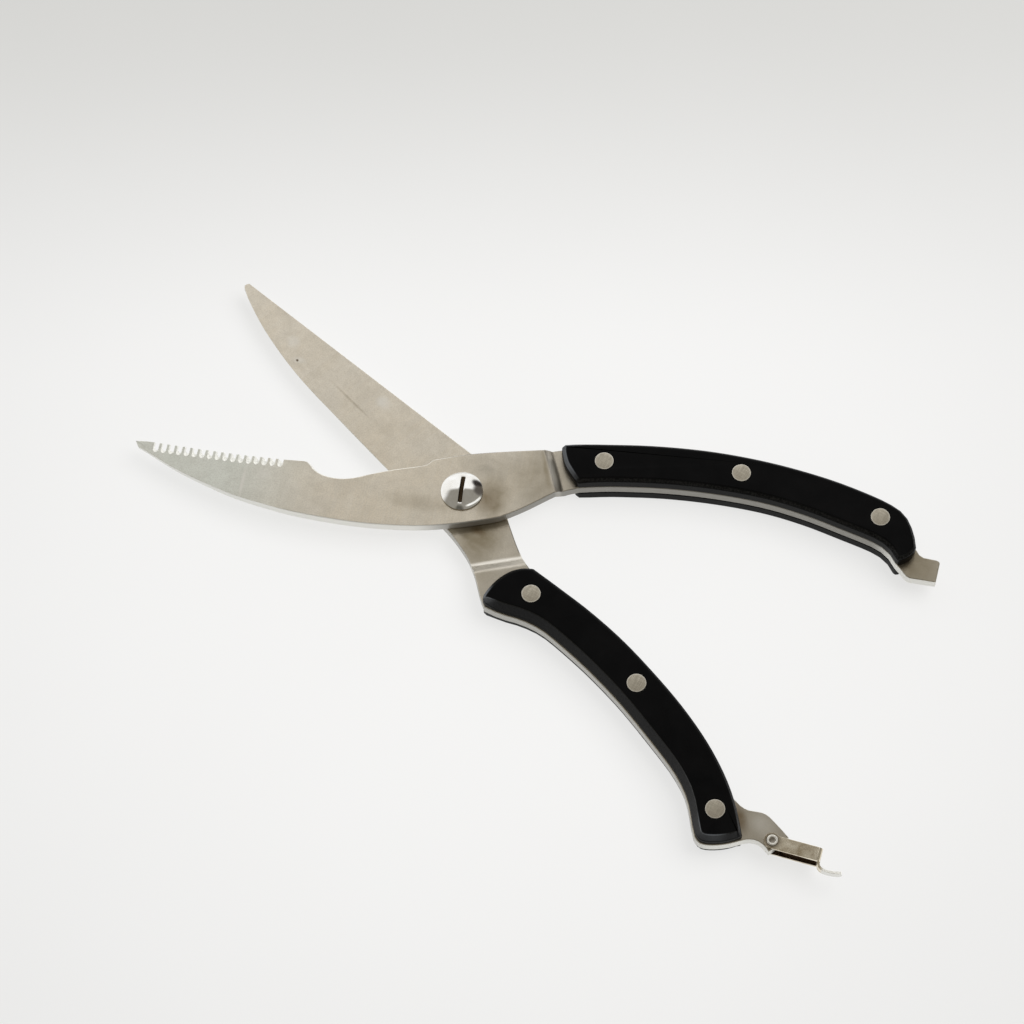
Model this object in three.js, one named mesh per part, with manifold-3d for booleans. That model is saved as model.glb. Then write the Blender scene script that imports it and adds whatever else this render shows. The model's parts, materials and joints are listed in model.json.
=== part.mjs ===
// Spring-loaded poultry shears, open, lying flat. Millimetres, +Z up.
// The origin is on the pivot axis, at the flat underside of the pivot nut. The tips point to -X and
// the handles to +X. Each half is drawn closed, as it lies along the X axis, and its group is then
// turned about the pivot by half of the opening angle.
import * as THREE from 'three';
import { mergeVertices } from 'three/addons/utils/BufferGeometryUtils.js';
import Module from 'manifold-3d';

const wasm = await Module();
wasm.setup();

// ---- Driving dimensions -------------------------------------------------------------------------

const HALF_OPENING = 18.75; // degrees that each half is turned out of the closed position
const PLATE = 3.6; // thickness of the blade and tang stock
const UNDER_BLADE_Z = 2.7; // underside of the plain blade
const BLADE_GAP = 0.1; // running clearance between the two blades
const TANG_Z = 4.5; // underside of both tangs
const SCALE_HEIGHT = 4.5; // thickness of one handle scale
const PROUD = 0.4; // how far the plain half's tang stands out past its scales
const GRIND = 1.2; // width of the ground bevel behind each cutting edge

// Bevels of the scales: [width, height].
const SCALE_BEVEL = [1.0, 1.0];
const FRONT_BEVEL = [1.2, 1.6];
const END_BEVEL = [1.3, 2.6];
const UPPER_FINGER_BEVEL = [1.65, 3.5];
const LOWER_FINGER_BEVEL = [1.2, 2.2];

const ROUND_SEGMENTS = 20;
const WIDE_ROUND_SEGMENTS = 32;
const STEP = { long: 3.4, middle: 2.5, short: 1.4, fine: 0.9 }; // point spacing along curves
const REACH = 190; // half the size of a block that is wider than the whole part
const SPARE = 1; // how far a tool or an untrimmed body runs past the faces it meets

const UNDER_TOP = UNDER_BLADE_Z + PLATE;
const UPPER_BLADE_Z = UNDER_TOP + BLADE_GAP;
const UPPER_TOP = UNDER_TOP + PLATE;
const TANG_TOP = TANG_Z + PLATE;
const HANDLE_TOP = TANG_TOP + SCALE_HEIGHT;

const SERRATED_RIVETS = [[41.8, 16.4], [84.1, 19.2], [127.9, 11.1]];
const PLAIN_RIVETS = [[41.1, -8.6], [83.9, -5.4], [128.0, -15.9]];
const RIVET = {
  head: 3.0, headHeight: 1.6, shank: 2.0, pin: 1.1, bore: 1.3, split: 6.3, boreEnd: 10.4, pinEnd: 10.1,
};
const FIT = 0.1; // radial clearance round rivet heads
const SHANK_FIT = 0.2; // radial clearance round shanks
const EDGE_BREAK = 0.15; // small chamfer on rivet heads

const SCREW = {
  head: 6.5, rim: 0.4, dome: 2.05, shank: 3.0, thread: 2.5, end: 1.0, slot: 1.2, slotFloor: 11.25,
};
const SLOT_ANGLE = 111.3; // degrees from +X
const NUT = {
  radius: 5.5, height: 1.9, bore: 2.8, floor: 0.7, chamfer: 0.4, spannerReach: 4.15, spannerHole: 0.7,
  spannerDepth: 1.2,
};
const WASHER = { inner: 2.85, outer: 6.2 };
const SPRING = { wire: 0.3, radius: 4.1, turns: 1.5, pitch: 0.75, leg: 1.5 };
const SPRING_SEAT = { pocket: 4.9, pocketDepth: 0.9, legHole: 0.6, skin: 0.8 };

const SERRATION = { count: 17, first: -97.9, pitch: 2.51, width: 1.65, reach: 2.7 };

const LATCH_AXIS = [145.3, -9.6];
const LATCH_ANGLE = 31; // degrees from the closed handle's X axis
const LATCH = { sheet: 0.8, play: 0.2, reach: 14.7, eye: 2.4, left: 1.75, right: -2.35, bend: 1.2 };
const TONGUE = { bottom: 5.3, top: 8.0 };
const TONGUE_ROUTE = [[14.3, -1.7], [14.4, -2.9], [15.2, -3.8], [16.6, -4.2], [18.3, -4.2],
  [20.1, -3.95], [21.6, -3.5]];
const LATCH_PIN = { shank: 1.1, head: 1.75, dimple: 0.9, height: 0.55 };

// ---- Outlines, in the closed position ------------------------------------------------------------

const SERRATED_INNER_EDGE = [[35.3, 8.0], [41, 9.25], [48, 10.45], [62, 12.1], [77, 12.7], [92, 12.1],
  [105, 10.05], [117, 7.0], [127, 4.2], [131.3, 1.9], [133.3, -0.3], [134.3, -1.7]];
const SERRATED_OUTER_EDGE = [[139.8, 3.0], [139.4, 5.0], [138.0, 9.0], [135.3, 13.3], [131, 16.1],
  [123, 18.9], [110, 22.1], [93, 24.6], [75, 25.5], [57, 24.6], [40, 22.4], [28.9, 20.55]];
const SERRATED_SCALE_END = [[134.3, -1.7], [135.1, -2.1], [136.2, -1.7], [137.6, -0.8], [139.1, 0.9],
  [139.8, 3.0]];
const SERRATED_SCALE_FRONT = [[28.9, 20.55], [28.05, 19.6], [28.5, 17.2], [29.8, 13.9], [31.8, 11.2],
  [34.3, 8.4], [35.3, 8.0]];
const CATCH_TAB = [[134.3, -1.7], [136.25, -3.6], [138, -5.4], [139.2, -5.9], [147.1, -5.95],
  [147.7, 0.6], [147.4, 1.2], [146.6, 1.5], [142.6, 1.75], [141.3, 2.4], [140.4, 3.6], [139.4, 5.0]];
const SERRATED_BLADE_BACK = [[-103.5, -0.05], [-100, -1.5], [-90, -6.05], [-80, -9.5], [-70, -12.35],
  [-60, -14.15], [-50, -15.4], [-40, -15.85], [-30, -15.8], [-20, -15.1], [-10, -13.7], [0, -11.2],
  [10, -7.9], [14, -6.2], [20, -2.2], [25.3, 2.0], [30, 5.6], [35.3, 8.0]];
const SERRATED_TANG_TOP = [[28.9, 20.55], [26.5, 19.6], [22.3, 18.5], [10, 15.8], [0, 13.3],
  [-4.7, 11.7], [-10, 9.75]];
const SHOULDER = [[-10, 9.75], [-11.1, 9.2], [-11.7, 8.3], [-12.7, 7.3], [-14.7, 6.5]];
const BONE_NOTCH = [[-14.7, 6.5], [-20, 4.8], [-24.3, 3.3], [-30, 1.0], [-33.3, -0.5], [-36.7, -1.5],
  [-40, -1.8], [-43.3, -1.5], [-46, -0.5], [-48, 0.9], [-49.5, 2.3]];
const SERRATED_EDGE = [[-49.5, 2.3], [-50.6, 2.4], [-57, 1.9], [-70, 1.4], [-85, 1.35], [-99, 1.5],
  [-104.3, 1.55]];
const SERRATED_TIP = [[-104.3, 1.55], [-104.2, 0.9], [-103.5, -0.05]];

const PLAIN_INNER_EDGE = [[138.7, -15.4], [130, -9.9], [121, -5.8], [110, -2.5], [97, -0.2],
  [83, 1.0], [70, 1.4], [57, 0.7], [45, -0.8], [35.2, -2.2]];
const PLAIN_OUTER_EDGE = [[33.4, -20.3], [38.2, -18.4], [43.2, -15.6], [48.2, -13.6], [53.2, -12.6],
  [63.2, -11.9], [72, -11.7], [84, -12.1], [98.2, -13.6], [110, -15.3], [118.2, -17.9],
  [123.2, -20.9], [126.8, -23.4], [129.2, -24.8]];
const PLAIN_TANG_END = [[129.0, -25.2], [131.3, -25.45], [133.45, -24.15], [135.8, -21.6],
  [137.7, -18.8]];
const PLAIN_SCALE_END = [[129.2, -24.8], [131.2, -25.0], [133.2, -23.8], [135.5, -21.3],
  [137.3, -18.6], [138.7, -15.4]];
const PLAIN_SCALE_FRONT = [[35.2, -2.2], [33.2, -4.0], [31.6, -6.5], [30.7, -9], [30.3, -12.5],
  [30.6, -16], [31.4, -19.2], [32.3, -20.3], [33.4, -20.3]];
const LATCH_EAR = [[127.2, -8.5], [129, -8.5], [131.4, -8.5], [133.6, -7.9], [135.4, -6.6],
  [137.1, -5.4], [138.6, -4.85], [140, -4.75], [145, -4.95], [147.8, -5.2]];
const LATCH_EAR_END = [[146.9, -12.5], [147.4, -8.5], [147.8, -5.2]];
const LATCH_EAR_FOOT = [[146.9, -12.5], [144.8, -12.2], [142.6, -12.5], [140.9, -13.5], [139.8, -14.8],
  [139.1, -16.1], [137.7, -18.8]];
const PLAIN_TANG_UNDER = [[33.2, -20.75], [31.2, -20.0], [28, -18.4], [25.3, -16.8], [21.5, -14.8],
  [17.3, -13.0], [12.3, -11.9], [7.3, -11.2], [0, -10.9], [-12, -10.9]];
const PLAIN_BLADE_EDGE = [[-12, -10.9], [-23, -10.9], [-40, -10.6], [-50, -10.3], [-60, -10.05],
  [-70, -9.4], [-80, -8.05], [-90, -6.1], [-100, -3.2], [-104.4, -1.4]];
const PLAIN_TIP = [[-104.4, -1.4], [-105.4, -0.8], [-105.7, 0.1], [-105.1, 1.15]];
const PLAIN_BLADE_BACK = [[-105.1, 1.15], [-10, 12.1]];
const PLAIN_TANG_TOP = [[-10, 12.1], [-4, 12.6], [3, 11.4], [9, 8.4], [15.6, 4.9], [20, 2.8],
  [23.75, 1.1], [28.2, -0.7], [31, -1.6], [35.2, -2.2]];

// Bend lines of the joggles, by the direction of their normal and their distance from the pivot.
const SERRATED_JOGGLE = { angle: 23.2, start: 27.4, end: 31.2, rise: TANG_TOP - UPPER_TOP };
const PLAIN_JOGGLE = { angle: -33.1, start: 23.6, end: 27.6, rise: TANG_TOP - UNDER_TOP };

// The outer face of each blade falls away towards its tip: [distance from the pivot, loss].
const DISTAL_TAPER = [[-REACH, 2.35], [-96, 2.35], [-85, 1.7], [-73, 1.0], [-62, 0.4], [-52, 0.08],
  [-44, 0]];

// ---- Materials -----------------------------------------------------------------------------------

const finish = (color, roughness, metalness) => ({ color, roughness, metalness });
const BLADE_STEEL = finish(0xb4afa1, 0.38, 1.0);
const SCALE_PLASTIC = finish(0x0e0e0f, 0.42, 0.0);
const RIVET_STEEL = finish(0xa29e93, 0.45, 1.0);
const POLISHED_STEEL = finish(0xdcdcda, 0.08, 1.0);
const NICKEL = finish(0xb7ae9c, 0.22, 1.0);
const SPRING_STEEL = finish(0x8d8d90, 0.35, 1.0);

function piece(name, look, geometry) {
  const mesh = new THREE.Mesh(geometry, new THREE.MeshStandardMaterial(look));
  mesh.name = name;
  return mesh;
}

// ---- Solids --------------------------------------------------------------------------------------

function toSolid(geometry) {
  const bare = geometry.clone();
  bare.deleteAttribute('normal');
  bare.deleteAttribute('uv');
  const merged = mergeVertices(bare, 1e-5);
  const mesh = new wasm.Mesh({
    numProp: 3,
    vertProperties: new Float32Array(merged.attributes.position.array),
    triVerts: new Uint32Array(merged.index.array),
  });
  return new wasm.Manifold(mesh);
}

function toGeometry(solid) {
  const mesh = solid.getMesh();
  const geometry = new THREE.BufferGeometry();
  geometry.setAttribute('position', new THREE.BufferAttribute(mesh.vertProperties, 3));
  geometry.setIndex(new THREE.BufferAttribute(mesh.triVerts, 1));
  geometry.computeVertexNormals();
  return geometry;
}

const vectors = (points) => points.map(([x, y]) => new THREE.Vector2(x, y));

// Points along a smooth curve through the given ones, about one step apart.
function smooth(points, step) {
  const curve = new THREE.SplineCurve(vectors(points));
  return curve.getSpacedPoints(Math.ceil(curve.getLength() / step));
}

// One closed outline from stretches that each start where the one before ends. Each point keeps the
// bevel of its stretch, and a shared point takes the mean of its two.
function closedOutline(stretches) {
  const outline = [];
  stretches.forEach(({ line, bevel = [0, 0] }) => {
    const [width, height] = bevel;
    const last = outline.at(-1);
    if (last) {
      last.width = (last.width + width) / 2;
      last.height = (last.height + height) / 2;
    }
    const fresh = last ? line.slice(1) : line;
    fresh.forEach((point) => outline.push({ x: point.x, y: point.y, width, height }));
  });
  const end = outline.pop();
  outline[0].width = (outline[0].width + end.width) / 2;
  outline[0].height = (outline[0].height + end.height) / 2;
  return outline;
}

// Moves each point of a counter-clockwise outline inwards by distance(point); negative is outwards.
function inset(outline, distance) {
  const count = outline.length;
  return outline.map((point, i) => {
    const before = outline[(i + count - 1) % count];
    const after = outline[(i + 1) % count];
    const u = new THREE.Vector2(point.x - before.x, point.y - before.y).normalize();
    const v = new THREE.Vector2(after.x - point.x, after.y - point.y).normalize();
    const inward = new THREE.Vector2(-u.y - v.y, u.x + v.x).normalize();
    const stretch = 1 / Math.max(0.6, inward.dot(new THREE.Vector2(-u.y, u.x)));
    const move = distance(point) * stretch;
    return { ...point, x: point.x + inward.x * move, y: point.y + inward.y * move };
  });
}

const atHeight = (outline, z) => outline.map(({ x, y }) => new THREE.Vector3(x, y, z));

// A closed body from outlines with equal numbers of points, lowest first: walls between neighbouring
// outlines and a cap on the first and the last.
function stackedBody(rings) {
  const count = rings[0].length;
  const faces = [];
  for (let level = 0; level + 1 < rings.length; level += 1) {
    for (let i = 0; i < count; i += 1) {
      const a = level * count + i;
      const b = level * count + ((i + 1) % count);
      faces.push([a, b, b + count], [a, b + count, a + count]);
    }
  }
  const cap = (ring) => THREE.ShapeUtils.triangulateShape(ring, []);
  const top = (rings.length - 1) * count;
  cap(rings[0]).forEach(([a, b, c]) => faces.push([c, b, a]));
  cap(rings.at(-1)).forEach(([a, b, c]) => faces.push([top + a, top + b, top + c]));
  const geometry = new THREE.BufferGeometry().setFromPoints(rings.flat());
  geometry.setIndex(faces.flat());
  return geometry;
}

function prism(points, bottom, top) {
  const shape = new THREE.Shape(points);
  const geometry = new THREE.ExtrudeGeometry(shape, { depth: top - bottom, bevelEnabled: false });
  return geometry.translate(0, 0, bottom);
}

function cylinder(radius, bottom, top, [x, y] = [0, 0]) {
  const geometry = new THREE.CylinderGeometry(radius, radius, top - bottom, ROUND_SEGMENTS);
  return geometry.rotateX(Math.PI / 2).translate(x, y, (top + bottom) / 2);
}

// A round body about Z from a profile of [radius, height] that starts and ends on the axis.
function turned(profile, segments = ROUND_SEGMENTS) {
  return new THREE.LatheGeometry(vectors(profile), segments).rotateX(Math.PI / 2);
}

const cut = (body, tools) => tools.reduce((rest, tool) => rest.subtract(toSolid(tool)), body);

// ---- Blades --------------------------------------------------------------------------------------

// A plate with a distal taper and an eased step across its bend line, as a prism wider than the
// whole part. Its profile runs along the normal of the bend line, so the step is straight.
function joggledPlate({ angle, start, end, rise }, bottom, top, taperedFace) {
  const steps = 6;
  const easing = [];
  for (let i = 0; i <= steps; i += 1) {
    const t = i / steps;
    easing.push([start + (end - start) * t, rise * t * t * (3 - 2 * t)]);
  }
  const bent = [...easing, [REACH, rise]];
  const upperTaper = DISTAL_TAPER.map(([s, loss]) => [s, taperedFace === 'upper' ? -loss : 0]);
  const lowerTaper = DISTAL_TAPER.map(([s, loss]) => [s, taperedFace === 'lower' ? loss : 0]);
  const upper = [...upperTaper, ...bent].map(([s, z]) => [s, top + z]);
  const lower = [...lowerTaper, ...bent].map(([s, z]) => [s, bottom + z]);
  const shape = new THREE.Shape(vectors([...lower, ...upper.reverse()]));
  const geometry = new THREE.ExtrudeGeometry(shape, { depth: 2 * REACH, bevelEnabled: false });
  const turn = THREE.MathUtils.degToRad(angle);
  const across = new THREE.Vector3(Math.cos(turn), Math.sin(turn), 0);
  const along = new THREE.Vector3(Math.sin(turn), -Math.cos(turn), 0);
  const place = new THREE.Matrix4().makeBasis(across, new THREE.Vector3(0, 0, 1), along);
  place.setPosition(along.multiplyScalar(-REACH));
  return geometry.applyMatrix4(place);
}

// How far the outer face of the serrated blade lies below its full height at a point.
function taperLoss({ x, y }) {
  const turn = THREE.MathUtils.degToRad(SERRATED_JOGGLE.angle);
  const s = x * Math.cos(turn) + y * Math.sin(turn);
  const after = DISTAL_TAPER.findIndex(([place]) => place > s);
  if (after < 0) {
    return 0;
  }
  const [[s0, loss0], [s1, loss1]] = DISTAL_TAPER.slice(after - 1, after + 1);
  return loss0 + (loss1 - loss0) * (s - s0) / (s1 - s0);
}

// The grooves ground through the serrated edge: round-bottomed channels that slope down and out.
function serrationCutters() {
  const radius = SERRATION.width / 2;
  const length = 12;
  const depth = 6;
  const edge = new THREE.SplineCurve(vectors([...SERRATED_EDGE].reverse()));
  const samples = edge.getSpacedPoints(200);
  const channel = new THREE.Shape();
  channel.moveTo(radius, depth);
  channel.lineTo(-radius, depth);
  channel.lineTo(-radius, 0);
  channel.absarc(0, 0, radius, Math.PI, 2 * Math.PI, false);
  const cutters = [];
  for (let i = 0; i < SERRATION.count; i += 1) {
    const x = SERRATION.first + i * SERRATION.pitch;
    const rim = samples.find((point) => point.x > x);
    const form = { depth: length, bevelEnabled: false, curveSegments: 4 };
    const geometry = new THREE.ExtrudeGeometry(channel, form).translate(0, radius, -length / 2);
    geometry.rotateX(Math.PI / 4);
    cutters.push(geometry.translate(x, rim.y - SERRATION.reach, UPPER_TOP - taperLoss(rim)));
  }
  return cutters;
}

const tangHoles = (places) => places.map((at) => (
  cylinder(RIVET.shank + SHANK_FIT, TANG_Z - SPARE, TANG_TOP + SPARE, at)
));

function serratedBlade() {
  const grind = [GRIND, 0];
  const outline = closedOutline([
    { line: smooth(SERRATED_BLADE_BACK, STEP.long) },
    { line: smooth(SERRATED_INNER_EDGE, STEP.long) },
    { line: vectors(CATCH_TAB) },
    { line: smooth(SERRATED_OUTER_EDGE.slice(1), STEP.long) },
    { line: smooth(SERRATED_TANG_TOP, STEP.long) },
    { line: smooth(SHOULDER, STEP.fine) },
    { line: smooth(BONE_NOTCH, STEP.short), bevel: grind },
    { line: vectors(SERRATED_EDGE), bevel: grind },
    { line: vectors(SERRATED_TIP) },
  ]);
  const ground = inset(outline, (point) => -point.width);
  const body = toSolid(stackedBody([
    atHeight(ground, TANG_Z - SPARE),
    atHeight(ground, UPPER_BLADE_Z),
    atHeight(outline, UPPER_TOP),
    atHeight(outline, UPPER_TOP + SPARE),
  ]));
  const plate = toSolid(joggledPlate(SERRATED_JOGGLE, UPPER_BLADE_Z, UPPER_TOP, 'upper'));
  const { pocket, pocketDepth, legHole, skin } = SPRING_SEAT;
  const legAngle = 2 * Math.PI * SPRING.turns;
  const leg = [SPRING.radius * Math.cos(legAngle), SPRING.radius * Math.sin(legAngle)];
  return toGeometry(cut(body.intersect(plate), [
    ...serrationCutters(),
    cylinder(SCREW.shank + SHANK_FIT, UPPER_BLADE_Z - SPARE, UPPER_TOP + SPARE),
    cylinder(pocket, UPPER_BLADE_Z - SPARE, UPPER_BLADE_Z + pocketDepth),
    cylinder(legHole, UPPER_BLADE_Z, UPPER_TOP - skin, leg),
    ...tangHoles(SERRATED_RIVETS),
  ]));
}

function plainBlade() {
  const [tangCorner] = vectors(PLAIN_TANG_UNDER);
  const [endCorner] = vectors(PLAIN_TANG_END);
  const [earCorner] = vectors(LATCH_EAR);
  const outer = inset(smooth(PLAIN_OUTER_EDGE, STEP.long), () => -PROUD).slice(1, -1);
  const inner = smooth(PLAIN_INNER_EDGE, STEP.long).filter((point) => point.x < earCorner.x - 1);
  const outline = closedOutline([
    { line: [tangCorner, ...outer, endCorner] },
    { line: smooth(PLAIN_TANG_END, STEP.short) },
    { line: smooth([...LATCH_EAR_FOOT].reverse(), STEP.short) },
    { line: vectors(LATCH_EAR_END) },
    { line: smooth([...LATCH_EAR].reverse(), STEP.short) },
    { line: [earCorner, ...inner] },
    { line: smooth([...PLAIN_TANG_TOP].reverse(), STEP.middle) },
    { line: vectors([...PLAIN_BLADE_BACK].reverse()) },
    { line: smooth([...PLAIN_TIP].reverse(), STEP.fine) },
    { line: smooth([...PLAIN_BLADE_EDGE].reverse(), STEP.long), bevel: [GRIND, 0] },
    { line: smooth([...PLAIN_TANG_UNDER].reverse(), STEP.middle) },
  ]);
  const ground = inset(outline, (point) => point.width);
  const body = toSolid(stackedBody([
    atHeight(ground, UNDER_BLADE_Z - SPARE),
    atHeight(ground, UNDER_BLADE_Z),
    atHeight(outline, UNDER_TOP),
    atHeight(outline, TANG_TOP + SPARE),
  ]));
  const plate = toSolid(joggledPlate(PLAIN_JOGGLE, UNDER_BLADE_Z, UNDER_TOP, 'lower'));
  const { pocket, pocketDepth, legHole, skin } = SPRING_SEAT;
  return toGeometry(cut(body.intersect(plate), [
    cylinder(SCREW.shank + SHANK_FIT, UNDER_BLADE_Z - SPARE, UNDER_TOP + SPARE),
    cylinder(pocket, UNDER_TOP - pocketDepth, UNDER_TOP + SPARE),
    cylinder(legHole, UNDER_BLADE_Z + skin, UNDER_TOP, [SPRING.radius, 0]),
    cylinder(LATCH_PIN.shank + SHANK_FIT, TANG_Z - SPARE, TANG_TOP + SPARE, LATCH_AXIS),
    ...tangHoles(PLAIN_RIVETS),
  ]));
}

// ---- Handle scales -------------------------------------------------------------------------------

// The upper scale of a handle, with bevelled edges and counterbored rivet holes.
function upperScale(stretches, rivets) {
  const outline = closedOutline(stretches);
  const crown = inset(outline, (point) => point.width);
  const shoulder = outline.map(({ x, y, height }) => new THREE.Vector3(x, y, HANDLE_TOP - height));
  const body = toSolid(stackedBody([
    atHeight(outline, TANG_TOP),
    shoulder,
    atHeight(crown, HANDLE_TOP),
  ]));
  const seat = HANDLE_TOP - RIVET.headHeight;
  return cut(body, rivets.flatMap((at) => [
    cylinder(RIVET.head + FIT, seat, HANDLE_TOP + SPARE, at),
    cylinder(RIVET.shank + SHANK_FIT, TANG_TOP - SPARE, HANDLE_TOP, at),
  ]));
}

// The lower scale is the upper one turned over about the middle of the tang.
function lowerScale(upper) {
  return upper.mirror([0, 0, 1]).translate([0, 0, TANG_Z + TANG_TOP]);
}

function serratedScale() {
  return upperScale([
    { line: smooth(SERRATED_INNER_EDGE, STEP.long), bevel: SCALE_BEVEL },
    { line: smooth(SERRATED_SCALE_END, STEP.fine), bevel: SCALE_BEVEL },
    { line: smooth(SERRATED_OUTER_EDGE, STEP.long), bevel: SCALE_BEVEL },
    { line: smooth(SERRATED_SCALE_FRONT, STEP.short), bevel: FRONT_BEVEL },
  ], SERRATED_RIVETS);
}

// The plain half's scales are hollowed along the finger side, the upper one more than the lower.
function plainScale(fingerBevel) {
  return upperScale([
    { line: smooth(PLAIN_OUTER_EDGE, STEP.long), bevel: fingerBevel },
    { line: smooth(PLAIN_SCALE_END, STEP.short), bevel: END_BEVEL },
    { line: smooth(PLAIN_INNER_EDGE, STEP.long), bevel: SCALE_BEVEL },
    { line: smooth(PLAIN_SCALE_FRONT, STEP.short), bevel: SCALE_BEVEL },
  ], PLAIN_RIVETS);
}

// ---- Rivets --------------------------------------------------------------------------------------

// The tubular half of a handle rivet: head flush with the upper scale, blind bore for the pin.
function rivetSleeve() {
  const { head, headHeight, shank, bore, boreEnd, split } = RIVET;
  const seat = HANDLE_TOP - headHeight;
  const tube = split + FIT;
  return turned([[0, boreEnd], [bore, boreEnd], [bore, tube], [shank, tube], [shank, seat],
    [head, seat], [head, HANDLE_TOP - EDGE_BREAK], [head - EDGE_BREAK, HANDLE_TOP], [0, HANDLE_TOP]]);
}

// The solid half: head flush with the lower scale, pin pressed up into the sleeve.
function rivetPin() {
  const { head, headHeight, shank, pin, split, pinEnd } = RIVET;
  return turned([[0, 0], [head - EDGE_BREAK, 0], [head, EDGE_BREAK], [head, headHeight],
    [shank, headHeight], [shank, split], [pin, split], [pin, pinEnd], [0, pinEnd]]);
}

function handleRivets(half, places) {
  return places.flatMap(([x, y], i) => {
    const sleeve = piece(`${half}_rivet_sleeve_${i + 1}`, RIVET_STEEL, rivetSleeve());
    const pin = piece(`${half}_rivet_pin_${i + 1}`, RIVET_STEEL, rivetPin());
    sleeve.position.set(x, y, 0);
    pin.position.set(x, y, 0);
    return [sleeve, pin];
  });
}

// ---- Pivot ---------------------------------------------------------------------------------------

function pivotScrew() {
  const { head, rim, dome, shank, thread, end, slot, slotFloor } = SCREW;
  const edge = 0.2;
  const underHead = UPPER_TOP + 0.05;
  const ball = (head * head + dome * dome) / (2 * dome);
  const crown = underHead + rim + dome;
  const cap = [];
  const bands = 8;
  for (let i = 0; i <= bands; i += 1) {
    const radius = head * (1 - i / bands);
    cap.push([radius, crown - ball + Math.sqrt(ball * ball - radius * radius)]);
  }
  const body = toSolid(turned([[0, end], [thread, end], [thread, UNDER_BLADE_Z],
    [shank, UNDER_BLADE_Z], [shank, underHead], [head - edge, underHead], [head, underHead + edge],
    ...cap], WIDE_ROUND_SEGMENTS));
  const driver = new THREE.BoxGeometry(slot, 3 * head, head).translate(0, 0, slotFloor + head / 2);
  driver.rotateZ(THREE.MathUtils.degToRad(SLOT_ANGLE - 90));
  return toGeometry(cut(body, [driver]));
}

function pivotNut() {
  const { radius, height, bore, floor, chamfer, spannerReach, spannerHole, spannerDepth } = NUT;
  const body = toSolid(turned([[0, 0], [radius - chamfer, 0], [radius, chamfer], [radius, height],
    [bore, height], [bore, floor], [0, floor]], WIDE_ROUND_SEGMENTS));
  return toGeometry(cut(body, [
    cylinder(spannerHole, -SPARE, spannerDepth, [spannerReach, 0]),
    cylinder(spannerHole, -SPARE, spannerDepth, [-spannerReach, 0]),
  ]));
}

function pivotWasher() {
  const { inner, outer } = WASHER;
  return turned([[inner, NUT.height], [outer, NUT.height], [outer, UNDER_BLADE_Z],
    [inner, UNDER_BLADE_Z], [inner, NUT.height]], WIDE_ROUND_SEGMENTS);
}

// The coil starts over the plain half's X axis and ends over the serrated half's.
function springAngle(t) {
  const opening = THREE.MathUtils.degToRad(HALF_OPENING);
  return 2 * Math.PI * SPRING.turns * t + opening * (2 * t - 1);
}

// Torsion spring round the screw: turns between two legs that stand in holes in the blades.
class SpringPath extends THREE.Curve {
  getPoint(t, target = new THREE.Vector3()) {
    const { radius, turns, pitch } = SPRING;
    const middle = UNDER_TOP + BLADE_GAP / 2;
    const angle = springAngle(t);
    const z = middle + pitch * turns * (t - 0.5);
    return target.set(radius * Math.cos(angle), radius * Math.sin(angle), z);
  }
}

function pivotSpring() {
  const { wire, radius, turns, pitch, leg } = SPRING;
  const section = new THREE.Shape();
  section.absarc(0, 0, wire, 0, 2 * Math.PI, false);
  const coil = new THREE.ExtrudeGeometry(section, {
    steps: 28, curveSegments: 3, bevelEnabled: false, extrudePath: new SpringPath(),
  });
  const rise = pitch * turns / 2;
  const middle = UNDER_TOP + BLADE_GAP / 2;
  const foot = (t) => [radius * Math.cos(springAngle(t)), radius * Math.sin(springAngle(t))];
  const lower = toSolid(cylinder(wire, middle - rise - leg, middle - rise, foot(0)));
  const upper = toSolid(cylinder(wire, middle + rise, middle + rise + leg, foot(1)));
  return toGeometry(toSolid(coil).add(lower).add(upper));
}

// ---- Latch ---------------------------------------------------------------------------------------

// The bent sheet bail, drawn about its rivet with its arms along +X.
function latchBail() {
  const { sheet, play, reach, eye, left, right, bend } = LATCH;
  const low = TANG_Z - play - sheet;
  const high = TANG_TOP + play + sheet;
  const inside = bend - sheet;
  const start = -4;
  const width = 8;
  const side = new THREE.Shape();
  side.moveTo(start, low);
  side.lineTo(reach - bend, low);
  side.absarc(reach - bend, low + bend, bend, -Math.PI / 2, 0, false);
  side.absarc(reach - bend, high - bend, bend, 0, Math.PI / 2, false);
  side.lineTo(start, high);
  side.lineTo(start, high - sheet);
  side.absarc(reach - bend, high - bend, inside, Math.PI / 2, 0, true);
  side.absarc(reach - bend, low + bend, inside, 0, -Math.PI / 2, true);
  side.lineTo(start, low + sheet);
  const form = { depth: width, bevelEnabled: false, curveSegments: 6 };
  const strip = new THREE.ExtrudeGeometry(side, form);
  strip.rotateX(Math.PI / 2).translate(0, width / 2, 0);
  const plan = new THREE.Shape();
  plan.absarc(0, 0, eye, Math.asin(left / eye), 2 * Math.PI + Math.asin(right / eye), false);
  plan.lineTo(reach + SPARE, right);
  plan.lineTo(reach + SPARE, left);
  const trim = prism(plan.getPoints(10), low - SPARE, high + SPARE);
  const arms = toSolid(strip).intersect(toSolid(trim));
  const eyelet = cylinder(LATCH_PIN.shank + SHANK_FIT, low - SPARE, high + SPARE);
  return toGeometry(cut(arms.add(toSolid(latchTongue())), [eyelet]));
}

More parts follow.
